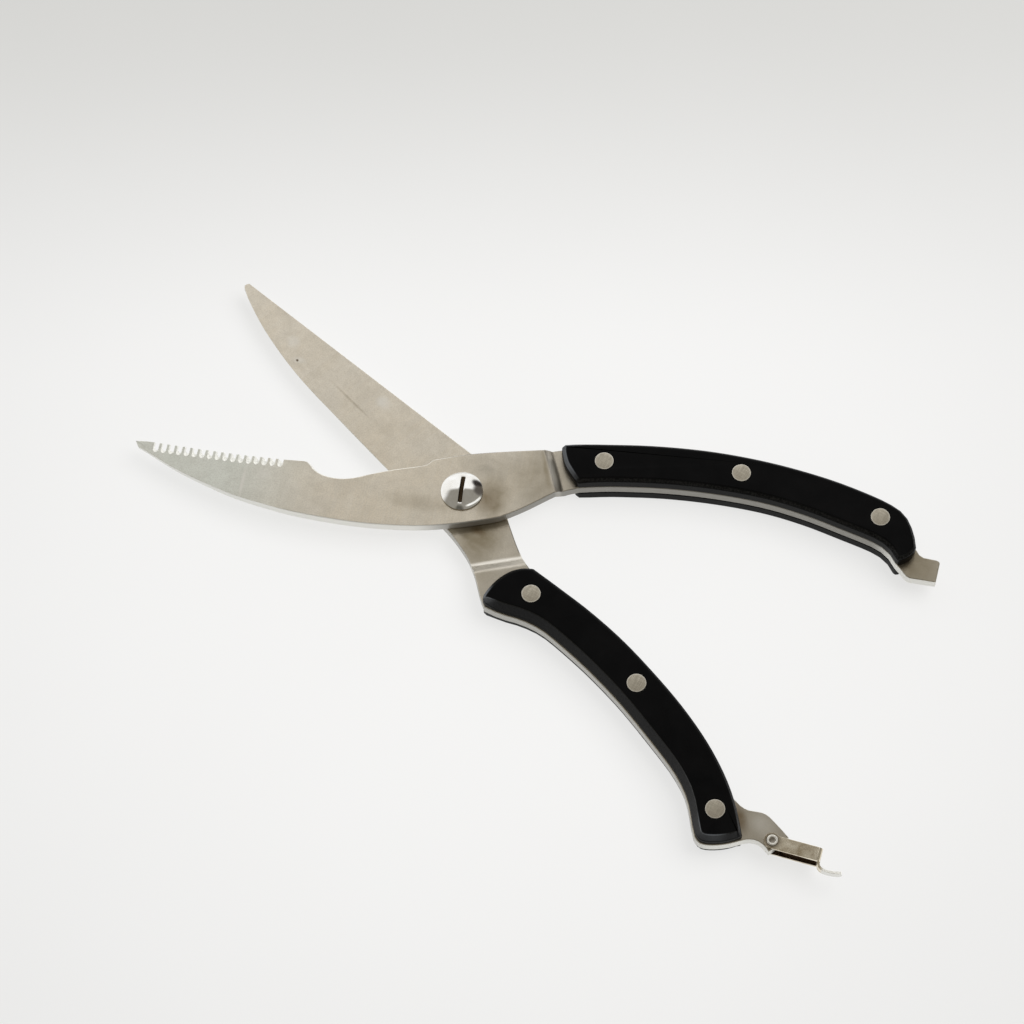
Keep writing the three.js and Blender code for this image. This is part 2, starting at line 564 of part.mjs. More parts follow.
// The thumb tongue: a narrow upright strip that leaves one side of the bridge and curls outwards.
function latchTongue() {
  const route = smooth(TONGUE_ROUTE, STEP.fine);
  const half = LATCH.sheet / 2;
  const normals = route.map((point, i) => {
    const before = route[Math.max(i - 1, 0)];
    const after = route[Math.min(i + 1, route.length - 1)];
    return new THREE.Vector2(before.y - after.y, after.x - before.x).setLength(half);
  });
  const leftSide = route.map((point, i) => point.clone().add(normals[i]));
  const rightSide = route.map((point, i) => point.clone().sub(normals[i]));
  return prism([...rightSide, ...leftSide.reverse()], TONGUE.bottom, TONGUE.top);
}

function latchRivet() {
  const { shank, head, dimple, height } = LATCH_PIN;
  const clearance = 0.02;
  const seat = TANG_TOP + LATCH.play + LATCH.sheet + clearance;
  const foot = TANG_Z - LATCH.play - LATCH.sheet - clearance;
  return turned([[0, foot - 0.1], [dimple - 0.2, foot - 0.1], [dimple, foot - 0.4],
    [head - 0.35, foot - 0.4], [head - 0.1, foot - 0.2], [head - 0.1, foot], [shank, foot],
    [shank, seat], [head, seat], [head, seat + 0.25], [head - 0.25, seat + height],
    [dimple + 0.15, seat + height], [dimple, seat + height - 0.15], [dimple - 0.15, seat + 0.15],
    [0, seat + 0.15]]);
}

// ---- Assembly ------------------------------------------------------------------------------------

const serratedHalf = new THREE.Group();
const serratedTopScale = serratedScale();
serratedHalf.add(
  piece('serrated_blade', BLADE_STEEL, serratedBlade()),
  piece('serrated_scale_top', SCALE_PLASTIC, toGeometry(serratedTopScale)),
  piece('serrated_scale_bottom', SCALE_PLASTIC, toGeometry(lowerScale(serratedTopScale))),
  ...handleRivets('serrated', SERRATED_RIVETS),
);
serratedHalf.rotation.z = THREE.MathUtils.degToRad(HALF_OPENING);

const latch = new THREE.Group();
latch.add(piece('latch_bail', NICKEL, latchBail()));
latch.position.set(...LATCH_AXIS, 0);
latch.rotation.z = THREE.MathUtils.degToRad(LATCH_ANGLE);

const latchPin = piece('latch_rivet', NICKEL, latchRivet());
latchPin.position.set(...LATCH_AXIS, 0);

const plainHalf = new THREE.Group();
plainHalf.add(
  piece('plain_blade', BLADE_STEEL, plainBlade()),
  piece('plain_scale_top', SCALE_PLASTIC, toGeometry(plainScale(UPPER_FINGER_BEVEL))),
  piece('plain_scale_bottom', SCALE_PLASTIC, toGeometry(lowerScale(plainScale(LOWER_FINGER_BEVEL)))),
  ...handleRivets('plain', PLAIN_RIVETS),
  latch,
  latchPin,
);
plainHalf.rotation.z = THREE.MathUtils.degToRad(-HALF_OPENING);

const shears = new THREE.Group();
shears.add(
  serratedHalf,
  plainHalf,
  piece('pivot_screw', POLISHED_STEEL, pivotScrew()),
  piece('pivot_nut', BLADE_STEEL, pivotNut()),
  piece('pivot_washer', BLADE_STEEL, pivotWasher()),
  piece('pivot_spring', SPRING_STEEL, pivotSpring()),
);

export default shears;
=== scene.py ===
"""Spring-loaded poultry shears, open, on a pale floor in soft light.

Meshes are in metres: +Z up, the pivot axis at the origin, tips at -X. Shapes and finishes are worked
out in millimetres. Each half is turned about the pivot by HALF_OPENING, and its own X axis runs along
that half.
"""

import json
import math

import bmesh
import bpy
import numpy as np
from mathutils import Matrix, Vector


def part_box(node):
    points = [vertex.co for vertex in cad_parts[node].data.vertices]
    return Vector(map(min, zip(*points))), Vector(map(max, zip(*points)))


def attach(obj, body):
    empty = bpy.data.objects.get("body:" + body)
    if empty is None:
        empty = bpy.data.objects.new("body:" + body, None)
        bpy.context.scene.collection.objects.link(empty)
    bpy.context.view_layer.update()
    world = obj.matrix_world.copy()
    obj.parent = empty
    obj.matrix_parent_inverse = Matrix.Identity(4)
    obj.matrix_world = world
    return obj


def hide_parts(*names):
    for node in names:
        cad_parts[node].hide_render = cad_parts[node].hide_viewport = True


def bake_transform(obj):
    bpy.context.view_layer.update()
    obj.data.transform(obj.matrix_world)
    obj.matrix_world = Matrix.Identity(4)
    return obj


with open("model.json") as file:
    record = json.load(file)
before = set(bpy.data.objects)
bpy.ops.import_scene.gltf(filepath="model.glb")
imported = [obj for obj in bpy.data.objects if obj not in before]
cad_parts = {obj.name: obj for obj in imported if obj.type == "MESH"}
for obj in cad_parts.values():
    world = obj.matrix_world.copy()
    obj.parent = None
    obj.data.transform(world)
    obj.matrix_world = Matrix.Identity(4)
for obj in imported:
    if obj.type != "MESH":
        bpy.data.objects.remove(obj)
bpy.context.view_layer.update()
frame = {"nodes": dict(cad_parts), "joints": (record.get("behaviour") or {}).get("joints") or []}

MM = 0.001
JOINTS = {joint["name"]: joint for joint in frame["joints"]}
HALF_OPENING = math.radians(18.75)
MERGE = 1e-6
BODY_OF_HALF = {"serrated": "serrated_half", "plain": "plain_half"}
OWN_TURN = {"serrated": -HALF_OPENING, "plain": HALF_OPENING}


# ---- Shader nodes --------------------------------------------------------------------------------


def fill(tree, node, inputs):
    """Sets a node's inputs, named or numbered, each to a value or to a socket to link."""
    for key, value in inputs.items():
        if isinstance(value, bpy.types.NodeSocket):
            tree.links.new(value, node.inputs[key])
        else:
            node.inputs[key].default_value = value


def add(tree, kind, inputs=None, **settings):
    """A node of that kind, with its settings and inputs."""
    node = tree.nodes.new("ShaderNode" + kind)
    for name, value in settings.items():
        setattr(node, name, value)
    fill(tree, node, inputs or {})
    return node


def maths(tree, operation, *values):
    return add(tree, "Math", dict(enumerate(values)), operation=operation).outputs[0]


def dotted(tree, vector, axis):
    """How far a vector reaches along an axis."""
    node = add(tree, "VectorMath", {0: vector, 1: axis}, operation="DOT_PRODUCT")
    return node.outputs["Value"]


def mixed(tree, factor, first, second):
    """The mix of two colours. A colour Mix node has them at inputs 6 and 7, and its result at 2."""
    node = add(tree, "Mix", data_type="RGBA", clamp_result=True)
    fill(tree, node, {0: factor, 6: first, 7: second})
    return node.outputs[2]


def remapped(tree, value, low, high, to_low=0.0, to_high=1.0, smooth=True):
    """The value taken from one range to another and clamped there."""
    kind = "SMOOTHSTEP" if smooth else "LINEAR"
    node = add(tree, "MapRange", {0: value, 1: low, 2: high, 3: to_low, 4: to_high},
               interpolation_type=kind)
    return node.outputs[0]


def new_group(name, inputs, outputs):
    """An empty shader node group with those sockets, and its input and output nodes."""
    group = bpy.data.node_groups.new(name, "ShaderNodeTree")
    for label, kind in inputs:
        group.interface.new_socket(name=label, in_out="INPUT", socket_type="NodeSocket" + kind)
    for label, kind in outputs:
        group.interface.new_socket(name=label, in_out="OUTPUT", socket_type="NodeSocket" + kind)
    return group, group.nodes.new("NodeGroupInput"), group.nodes.new("NodeGroupOutput")


def use_group(tree, group, inputs):
    node = add(tree, "Group", node_tree=group)
    fill(tree, node, inputs)
    return node


def grinding_lines_group():
    """Fine lines along one axis: noise squeezed across the lines and stretched along them."""
    group, given, result = new_group(
        "grinding lines",
        [("Vector", "Vector"), ("Stretch", "Vector"), ("Contrast", "Float")],
        [("Lines", "Float")],
    )
    squeezed = add(group, "VectorMath", {0: given.outputs["Vector"], 1: given.outputs["Stretch"]},
                   operation="MULTIPLY")
    noise = add(group, "TexNoise", {"Vector": squeezed.outputs[0], "Scale": 1.0, "Detail": 5.0,
                                    "Roughness": 0.65})
    centred = maths(group, "SUBTRACT", noise.outputs[0], 0.5)
    spread = maths(group, "MULTIPLY", centred, given.outputs["Contrast"])
    lines = maths(group, "ADD", spread, 0.5)
    group.links.new(lines, result.inputs["Lines"])
    return group


def soft_spot_group():
    """A mask that is 1 in the middle of an ellipse and fades smoothly to 0 at its edge."""
    group, given, result = new_group(
        "soft spot",
        [("Vector", "Vector"), ("Middle", "Vector"), ("Size", "Vector")],
        [("Mask", "Float")],
    )
    offset = add(group, "VectorMath", {0: given.outputs["Vector"], 1: given.outputs["Middle"]},
                 operation="SUBTRACT")
    scaled = add(group, "VectorMath", {0: offset.outputs[0], 1: given.outputs["Size"]},
                 operation="DIVIDE")
    length = add(group, "VectorMath", {0: scaled.outputs[0]}, operation="LENGTH")
    whole_within = 0.15
    mask = remapped(group, length.outputs["Value"], whole_within, 1.0, 1.0, 0.0)
    group.links.new(mask, result.inputs["Mask"])
    return group


def smudge_group():
    """Two sizes of cloudy unevenness, as from handling and polishing."""
    group, given, result = new_group(
        "smudges",
        [("Vector", "Vector"), ("Scale", "Float")],
        [("Cloud", "Float"), ("Speck", "Float")],
    )
    cloud = add(group, "TexNoise", {"Vector": given.outputs["Vector"], "Scale": given.outputs["Scale"],
                                    "Detail": 3.0, "Roughness": 0.55, "Distortion": 0.4})
    times_finer = 14.0
    fine_scale = maths(group, "MULTIPLY", given.outputs["Scale"], times_finer)
    speck = add(group, "TexNoise", {"Vector": given.outputs["Vector"], "Scale": fine_scale,
                                    "Detail": 2.0, "Roughness": 0.6})
    group.links.new(cloud.outputs[0], result.inputs["Cloud"])
    group.links.new(speck.outputs[0], result.inputs["Speck"])
    return group


def upright_walls_group():
    """A mask that is 1 on upright walls and 0 on faces that look up or down.

    A face's levelness is how much of its normal is upright. The mask fades from Steep to Level.
    """
    group, given, result = new_group(
        "upright walls",
        [("Steep", "Float"), ("Level", "Float")],
        [("Mask", "Float")],
    )
    normal = add(group, "TexCoord").outputs["Normal"]
    upright = add(group, "SeparateXYZ", {0: normal}).outputs["Z"]
    levelness = maths(group, "ABSOLUTE", upright)
    mask = remapped(group, levelness, given.outputs["Steep"], given.outputs["Level"], 1.0, 0.0)
    group.links.new(mask, result.inputs["Mask"])
    return group


LINES = grinding_lines_group()
SPOT = soft_spot_group()
SMUDGES = smudge_group()
WALLS = upright_walls_group()


def new_material(name, roughness, metallic, **sockets):
    """A material with a Principled shader, whose uniform values are set on its own sockets."""
    material = bpy.data.materials.new(name)
    material.use_nodes = True
    tree = material.node_tree
    shader = tree.nodes["Principled BSDF"]
    shader.inputs["Roughness"].default_value = roughness
    shader.inputs["Metallic"].default_value = metallic
    for label, value in sockets.items():
        shader.inputs[label.replace("_", " ")].default_value = value
    return material, tree, shader


def millimetres(tree, turn=0.0):
    """Object coordinates in millimetres, turned about the pivot to a half's own axes."""
    coordinates = add(tree, "TexCoord")
    mapping = add(tree, "Mapping", {"Vector": coordinates.outputs["Object"],
                                    "Rotation": (0.0, 0.0, turn),
                                    "Scale": (1 / MM, 1 / MM, 1 / MM)})
    return mapping.outputs[0]


def wall_mask(tree, steep, level):
    return use_group(tree, WALLS, {"Steep": steep, "Level": level}).outputs["Mask"]


# Deeper in millimetres than any piece, so that a mark goes right through it.
ALL_THROUGH = 1000.0


def spot(tree, vector, middle, size, turn=0.0):
    """A soft elliptical mask in the XY plane, turned about its middle by some degrees."""
    turned_by = add(tree, "VectorRotate", {"Vector": vector, "Center": (*middle, 0.0),
                                           "Angle": math.radians(-turn)}, rotation_type="Z_AXIS")
    node = use_group(tree, SPOT, {"Vector": turned_by.outputs[0], "Middle": (*middle, 0.0),
                                  "Size": (*size, ALL_THROUGH)})
    return node.outputs["Mask"]


def bumped(tree, shader, height, strength, distance):
    bump = add(tree, "Bump", {"Height": height, "Strength": strength, "Distance": distance})
    tree.links.new(bump.outputs[0], shader.inputs["Normal"])


# ---- Finishes ------------------------------------------------------------------------------------

BEIGE_STEEL = (0.82, 0.73, 0.585, 1.0)
GREY_STEEL = (0.83, 0.86, 0.78, 1.0)
PALE_STEEL = (0.86, 0.83, 0.76, 1.0)
BRIGHT_STEEL = (0.90, 0.90, 0.86, 1.0)
SHADED_WALL = (0.27, 0.262, 0.24, 1.0)
DULL_STEEL = (0.33, 0.30, 0.24, 1.0)
TINT_AND_SHADE_STEEL = (0.30, 0.25, 0.165, 1.0)
PIT_BROWN = (0.12, 0.08, 0.05, 1.0)
STAIN_BROWN = (0.20, 0.135, 0.07, 1.0)
SCUFF_AND_HIGHLIGHT_GREY = (0.13, 0.14, 0.155, 1.0)
DARK_RING_AND_SHADE = (0.05, 0.032, 0.022, 1.0)
BLACK_PLASTIC = (0.0014, 0.0014, 0.0015, 1.0)
RUBBED_PLASTIC = (0.0028, 0.0027, 0.0028, 1.0)
RIVET_SHADE = (0.42, 0.38, 0.305, 1.0)
RIVET_LIGHT = (0.60, 0.555, 0.455, 1.0)
RIVET_RIM = (0.78, 0.74, 0.65, 1.0)
CLEAR_POLISH = (0.96, 0.955, 0.93, 1.0)
HAZY_POLISH = (0.84, 0.82, 0.77, 1.0)
RIM_SHADE = (0.20, 0.18, 0.13, 1.0)
SLOT_DARK_BROWN = (0.075, 0.052, 0.03, 1.0)
DULL_NICKEL = (0.54, 0.45, 0.31, 1.0)
WARM_NICKEL = (0.95, 0.87, 0.71, 1.0)
EYELET_SHADE = (0.22, 0.19, 0.15, 1.0)
EYELET_LIGHT = (0.45, 0.42, 0.37, 1.0)
EYELET_RIM = (0.80, 0.78, 0.72, 1.0)
WIRE_SHADE = (0.36, 0.36, 0.37, 1.0)
WIRE_LIGHT = (0.6, 0.6, 0.6, 1.0)
AWAY = (-0.485, 0.875, 0.0)

# How steep and how level faces are where a wall mask fades.
PLATE_WALL = (0.62, 0.88)
HIGHLIGHT_RIM = (0.78, 0.985)
SCALE_BEVEL = (0.78, 0.97)
SCALE_WALL = (0.35, 0.6)
HEAD_RIM = (0.35, 0.75)

# Places along the shears, in millimetres from the pivot.
TANG_DARKENS_FROM, TANG_DARKENS_TO = 0.0, 40.0
BENDS_BEGIN = 8.0
SHADE_BEGINS, SHADE_WHOLE = -14.0, 2.0
TAB_SHADED, TAB_OPEN = 126.0, 135.0
LATCH_CENTRE = tuple(place / MM for place in JOINTS["latch_swing"]["pos_m"][:2])
LATCH_RING = (3.4, 3.4)
TONGUE_FROM, TONGUE_TO = 150.2, 151.2
LATCH_SHADE_WHOLE, LATCH_SHADE_GONE = 4.6, 5.2


def blade_steel(half, grey_from, grey_to, dim, marks, bend_highlights):
    """Ground stainless plate: beige near the pivot, greyer at the tip, duller towards the handle.

    Upright walls are painted brighter, with painted shade by a share along the handle, between its
    scales, and the rounded rims short of the bends are painted bright as a highlight. marks are
    ellipses in the half's own axes, each (colour, strength, middle, size, turn) in millimetres and
    degrees, and the bend highlights are ellipses (strength, middle, size, turn) where a bend is
    given a painted highlight.
    """
    material, tree, shader = new_material(f"{half} blade steel", roughness=0.36, metallic=1.0)
    own = millimetres(tree, OWN_TURN[half])
    along = add(tree, "SeparateXYZ", {0: own}).outputs["X"]
    greyness = remapped(tree, along, grey_from, grey_to)
    colour = mixed(tree, greyness, BEIGE_STEEL, GREY_STEEL)
    smudges = use_group(tree, SMUDGES, {"Vector": own, "Scale": 0.045})
    cloud = remapped(tree, smudges.outputs["Cloud"], 0.35, 0.65, 0.0, 0.3, smooth=False)
    colour = mixed(tree, cloud, colour, PALE_STEEL)
    speckle = use_group(tree, SMUDGES, {"Vector": own, "Scale": 0.16})
    grain = remapped(tree, speckle.outputs["Speck"], 0.35, 0.7, 0.0, 0.26, smooth=False)
    colour = mixed(tree, grain, colour, DULL_STEEL)
    blotches = remapped(tree, speckle.outputs["Cloud"], 0.36, 0.64, smooth=False)
    colour = mixed(tree, maths(tree, "MULTIPLY", blotches, 0.16), colour, DULL_STEEL)
    lines = use_group(tree, LINES, {"Vector": own, "Stretch": (2.6, 0.05, 0.4), "Contrast": 1.6})
    line_shade = remapped(tree, lines.outputs["Lines"], 0.2, 0.8, 0.0, 0.22, smooth=False)
    colour = mixed(tree, line_shade, colour, PALE_STEEL)
    # Darker along the tang, from the pivot towards the handle.
    darker_along_tang = remapped(tree, along, TANG_DARKENS_FROM, TANG_DARKENS_TO, 0.0, 0.6)
    colour = mixed(tree, darker_along_tang, colour, DULL_STEEL)
    for mark_colour, strength, *place in marks:
        patchy = remapped(tree, blotches, 0.0, 1.0, 0.8 * strength, 1.15 * strength)
        mask = maths(tree, "MULTIPLY", spot(tree, own, *place), patchy)
        colour = mixed(tree, mask, colour, mark_colour)
    # The rounded rims short of the bends are painted bright as a highlight; upright walls are painted
    # brighter, and take painted shade by a share along the handle.
    unbent = maths(tree, "LESS_THAN", along, BENDS_BEGIN)
    ground = maths(tree, "MULTIPLY", wall_mask(tree, *HIGHLIGHT_RIM), unbent)
    walls_and_highlights = maths(tree, "MAXIMUM", wall_mask(tree, *PLATE_WALL), ground)
    shade = maths(tree, "MULTIPLY", remapped(tree, along, SHADE_BEGINS, SHADE_WHOLE, 0.0, dim),
                  remapped(tree, along, TAB_SHADED, TAB_OPEN, 1.0, 0.0))
    wall_colour = mixed(tree, shade, BRIGHT_STEEL, SHADED_WALL)
    colour = mixed(tree, maths(tree, "MULTIPLY", walls_and_highlights, 0.92), colour, wall_colour)
    # Painted highlights along the bends, in a pale colour with less metal.
    for strength, *place in bend_highlights:
        bend_highlight = maths(tree, "MULTIPLY", spot(tree, own, *place), strength)
        colour = mixed(tree, bend_highlight, colour, PALE_STEEL)
        walls_and_highlights = maths(tree, "MAXIMUM", walls_and_highlights, bend_highlight)
    tree.links.new(colour, shader.inputs["Base Color"])
    tree.links.new(remapped(tree, walls_and_highlights, 0.0, 1.0, 1.0, 0.45), shader.inputs["Metallic"])
    rough = remapped(tree, smudges.outputs["Speck"], 0.3, 0.7, 0.31, 0.42, smooth=False)
    tree.links.new(rough, shader.inputs["Roughness"])
    bumped(tree, shader, lines.outputs["Lines"], strength=0.12, distance=0.00004)
    return material


def handle_plastic(half, polish, scuffs_and_highlights):
    """Near-black moulded plastic with a faint grain, and bevels polished by the hand.

    polish is the least and the most shine of the bevels, and the scuffs and highlights are ellipses
    (middle, size) in the half's own axes where the bevels are painted a lighter grey, in part as
    scuffs and in part as a painted highlight.
    """
    material, tree, shader = new_material(f"{half} handle plastic", roughness=0.34, metallic=0.0,
                                          Specular_IOR_Level=0.05, Coat_Roughness=0.16)
    own = millimetres(tree, OWN_TURN[half])
    smudges = use_group(tree, SMUDGES, {"Vector": own, "Scale": 0.12})
    cloud = remapped(tree, smudges.outputs["Cloud"], 0.3, 0.7, smooth=False)
    colour = mixed(tree, cloud, BLACK_PLASTIC, RUBBED_PLASTIC)
    bevels = maths(tree, "SUBTRACT", wall_mask(tree, *SCALE_BEVEL), wall_mask(tree, *SCALE_WALL))
    # Patches of the bevels painted lighter grey, in part scuffs and in part a painted highlight.
    for place in scuffs_and_highlights:
        mask = maths(tree, "MULTIPLY", spot(tree, own, *place), bevels)
        colour = mixed(tree, mask, colour, SCUFF_AND_HIGHLIGHT_GREY)
    tree.links.new(colour, shader.inputs["Base Color"])
    rough = remapped(tree, smudges.outputs["Speck"], 0.3, 0.7, 0.26, 0.40, smooth=False)
    tree.links.new(rough, shader.inputs["Roughness"])
    scuffs = remapped(tree, smudges.outputs["Speck"], 0.35, 0.65, *polish, smooth=False)
    normal = add(tree, "TexCoord").outputs["Normal"]
    near_side = remapped(tree, dotted(tree, normal, AWAY), 0.0, 0.35, 1.0, 0.0)
    polished = maths(tree, "MULTIPLY", maths(tree, "MULTIPLY", bevels, near_side), scuffs)
    tree.links.new(polished, shader.inputs["Coat Weight"])
    grain = add(tree, "TexNoise", {"Vector": own, "Scale": 5.0, "Detail": 2.0})
    bumped(tree, shader, grain.outputs[0], strength=0.12, distance=0.00005)
    return material


def rivet_steel():
    """Flush-ground rivet heads: crossed fine lines, and a paler polished rim."""
    material, tree, shader = new_material("rivet steel", roughness=0.38, metallic=1.0)
    own = millimetres(tree)
    lines = use_group(tree, LINES, {"Vector": own, "Stretch": (4.0, 0.35, 0.6), "Contrast": 1.8})
    crossed = use_group(tree, LINES, {"Vector": own, "Stretch": (0.4, 4.2, 0.6), "Contrast": 1.5})
    both = maths(tree, "MULTIPLY", lines.outputs["Lines"], crossed.outputs["Lines"])
    shade = remapped(tree, both, 0.1, 0.45, smooth=False)
    colour = mixed(tree, shade, RIVET_SHADE, RIVET_LIGHT)
    radius = add(tree, "Attribute", attribute_name="from_axis").outputs["Fac"]
    rim = remapped(tree, radius, 0.84, 0.95)
    colour = mixed(tree, rim, colour, RIVET_RIM)
    tree.links.new(colour, shader.inputs["Base Color"])
    rough = remapped(tree, both, 0.1, 0.45, 0.46, 0.34, smooth=False)
    tree.links.new(rough, shader.inputs["Roughness"])
    bumped(tree, shader, both, strength=0.1, distance=0.00003)
    return material


def polished_steel():
    """Mirror-polished dome with hair scratches and a trace of handling."""
    material, tree, shader = new_material("polished screw steel", roughness=0.07, metallic=1.0)
    own = millimetres(tree)
    smudges = use_group(tree, SMUDGES, {"Vector": own, "Scale": 0.35})
    haze = remapped(tree, smudges.outputs["Cloud"], 0.35, 0.7, smooth=False)
    colour = mixed(tree, haze, CLEAR_POLISH, HAZY_POLISH)
    # Painted shade on the rim wall; the slot is painted dark brown.
    colour = mixed(tree, wall_mask(tree, *HEAD_RIM), colour, RIM_SHADE)
    sunk = add(tree, "Attribute", attribute_name="sunk").outputs["Fac"]
    colour = mixed(tree, sunk, colour, SLOT_DARK_BROWN)
    tree.links.new(colour, shader.inputs["Base Color"])
    polish = remapped(tree, haze, 0.0, 1.0, 0.05, 0.14)
    rough = maths(tree, "MAXIMUM", polish, maths(tree, "MULTIPLY", sunk, 0.6))
    tree.links.new(rough, shader.inputs["Roughness"])
    scratches = use_group(tree, LINES, {"Vector": own, "Stretch": (0.5, 7.0, 0.5), "Contrast": 2.0})
    bumped(tree, shader, scratches.outputs["Lines"], strength=0.03, distance=0.00002)
    return material


def latch_nickel():
    """Warm nickel plating on bent sheet, dulled in patches, with a dark ring round the eyelet,
    painted shade between its arms and a painted highlight on the tongue.
    """
    material, tree, shader = new_material("latch nickel", roughness=0.2, metallic=1.0)
    own = millimetres(tree)
    place = add(tree, "SeparateXYZ", {0: own})
    smudges = use_group(tree, SMUDGES, {"Vector": own, "Scale": 0.3})
    cloud = remapped(tree, smudges.outputs["Cloud"], 0.35, 0.68, smooth=False)
    colour = mixed(tree, cloud, DULL_NICKEL, WARM_NICKEL)
    # A dark ring round the eyelet.
    ring = spot(tree, own, LATCH_CENTRE, LATCH_RING)
    colour = mixed(tree, maths(tree, "MULTIPLY", ring, 0.95), colour, DARK_RING_AND_SHADE)
    # Painted shade on the upward faces between the arms.
    upward = add(tree, "SeparateXYZ", {0: add(tree, "TexCoord").outputs["Normal"]}).outputs["Z"]
    inside = maths(tree, "MULTIPLY", remapped(tree, upward, 0.3, 0.7),
                   remapped(tree, place.outputs["Z"], LATCH_SHADE_WHOLE, LATCH_SHADE_GONE, 1.0, 0.0))
    colour = mixed(tree, inside, colour, DARK_RING_AND_SHADE)
    # The tongue is painted bright as a highlight.
    tongue = remapped(tree, place.outputs["X"], TONGUE_FROM, TONGUE_TO)
    colour = mixed(tree, tongue, colour, BRIGHT_STEEL)
    tree.links.new(colour, shader.inputs["Base Color"])
    tree.links.new(remapped(tree, tongue, 0.0, 1.0, 1.0, 0.5), shader.inputs["Metallic"])
    rough = remapped(tree, smudges.outputs["Speck"], 0.3, 0.7, 0.15, 0.28, smooth=False)
    tree.links.new(rough, shader.inputs["Roughness"])
    bumped(tree, shader, smudges.outputs["Speck"], strength=0.08, distance=0.00004)
    return material


def eyelet_nickel():
    """A rolled rim painted bright as a highlight, round a dark sunk middle."""
    material, tree, shader = new_material("eyelet nickel", roughness=0.18, metallic=1.0)
    own = millimetres(tree)
    smudges = use_group(tree, SMUDGES, {"Vector": own, "Scale": 0.9})
    radius = add(tree, "Attribute", attribute_name="from_axis").outputs["Fac"]
    # The rolled rim is painted bright as a highlight.
    rolled = maths(tree, "MULTIPLY", remapped(tree, radius, 0.42, 0.6),
                   remapped(tree, radius, 0.86, 0.97, 1.0, 0.0))
    colour = mixed(tree, smudges.outputs["Cloud"], EYELET_SHADE, EYELET_LIGHT)
    colour = mixed(tree, rolled, colour, EYELET_RIM)
    tree.links.new(colour, shader.inputs["Base Color"])
    tree.links.new(remapped(tree, rolled, 0.0, 1.0, 1.0, 0.7), shader.inputs["Metallic"])
    rough = remapped(tree, smudges.outputs["Speck"], 0.3, 0.7, 0.14, 0.3)
    tree.links.new(rough, shader.inputs["Roughness"])
    return material


def spring_steel():
    """Drawn wire with lines round it."""
    material, tree, shader = new_material("spring steel", roughness=0.3, metallic=1.0)
    own = millimetres(tree)
    lines = use_group(tree, LINES, {"Vector": own, "Stretch": (1.5, 1.5, 9.0), "Contrast": 1.6})
    colour = mixed(tree, lines.outputs["Lines"], WIRE_SHADE, WIRE_LIGHT)
    tree.links.new(colour, shader.inputs["Base Color"])
    rough = remapped(tree, lines.outputs["Lines"], 0.2, 0.8, 0.24, 0.38)
    tree.links.new(rough, shader.inputs["Roughness"])
    return material


# Marks are (colour, strength, middle, size, turn), and the painted highlights along the bends are
# (strength, middle, size, turn).
SERRATED_MARKS = [
    (TINT_AND_SHADE_STEEL, 0.85, (9.2, -0.5), (8.0, 10.5)),
    (DULL_STEEL, 0.4, (8.0, 10.0), (14.0, 6.0)),
    (STAIN_BROWN, 0.35, (8.4, -1.8), (5.4, 6.6)),
    (STAIN_BROWN, 0.5, (136.8, 1.5), (3.0, 6.0), -40.0),
    (TINT_AND_SHADE_STEEL, 0.35, (22.0, 8.0), (12.0, 14.0)),
    (TINT_AND_SHADE_STEEL, 0.35, (-12.0, -6.0), (16.0, 4.0)),
    (TINT_AND_SHADE_STEEL, 0.7, (141.0, -2.0), (10.0, 10.0)),
    (PALE_STEEL, 0.75, (-68.0, -7.5), (0.8, 7.0)),
    (PALE_STEEL, 0.4, (-62.0, -4.0), (3.0, 3.0)),
    # A painted highlight and painted shade on the bend lines of the joggle.
    (PALE_STEEL, 0.7, (26.4, 11.0), (0.9, 9.0), 23.2),
    (TINT_AND_SHADE_STEEL, 0.6, (24.4, 12.0), (1.4, 10.0), 18.0),
]
PLAIN_MARKS = [
    (PALE_STEEL, 0.45, (-78.5, -2.5), (3.2, 3.2)),
    (PALE_STEEL, 0.35, (-72.0, -5.4), (3.4, 1.6), 30.0),
    (PIT_BROWN, 0.9, (-72.5, -6.0), (0.7, 0.6)),
    (PALE_STEEL, 0.6, (-42.0, 4.0), (3.6, 3.0)),
    (TINT_AND_SHADE_STEEL, 0.35, (-50.0, -3.0), (12.0, 0.6)),
    (TINT_AND_SHADE_STEEL, 0.9, (14.0, -5.0), (10.0, 11.0)),
    (TINT_AND_SHADE_STEEL, 0.55, (13.0, -7.5), (6.0, 1.6), 15.0),
    (STAIN_BROWN, 0.5, (12.2, -4.4), (3.6, 1.8), 20.0),
    (TINT_AND_SHADE_STEEL, 0.3, (22.0, -12.0), (12.0, 8.0)),
    (STAIN_BROWN, 0.75, (134.0, -11.5), (7.0, 2.8), -28.0),
    (PALE_STEEL, 0.4, (140.0, -8.0), (6.0, 4.5)),
]
# Painted highlights along the bends of the joggles.
SERRATED_BEND_HIGHLIGHTS = [(0.45, (26.3, 12.1), (1.9, 14.0), 23.2)]
PLAIN_BEND_HIGHLIGHTS = [
    (0.45, (24.8, -8.5), (3.0, 24.0), -33.1),
    (0.8, (23.6, -7.3), (0.9, 22.0), -33.1),
]
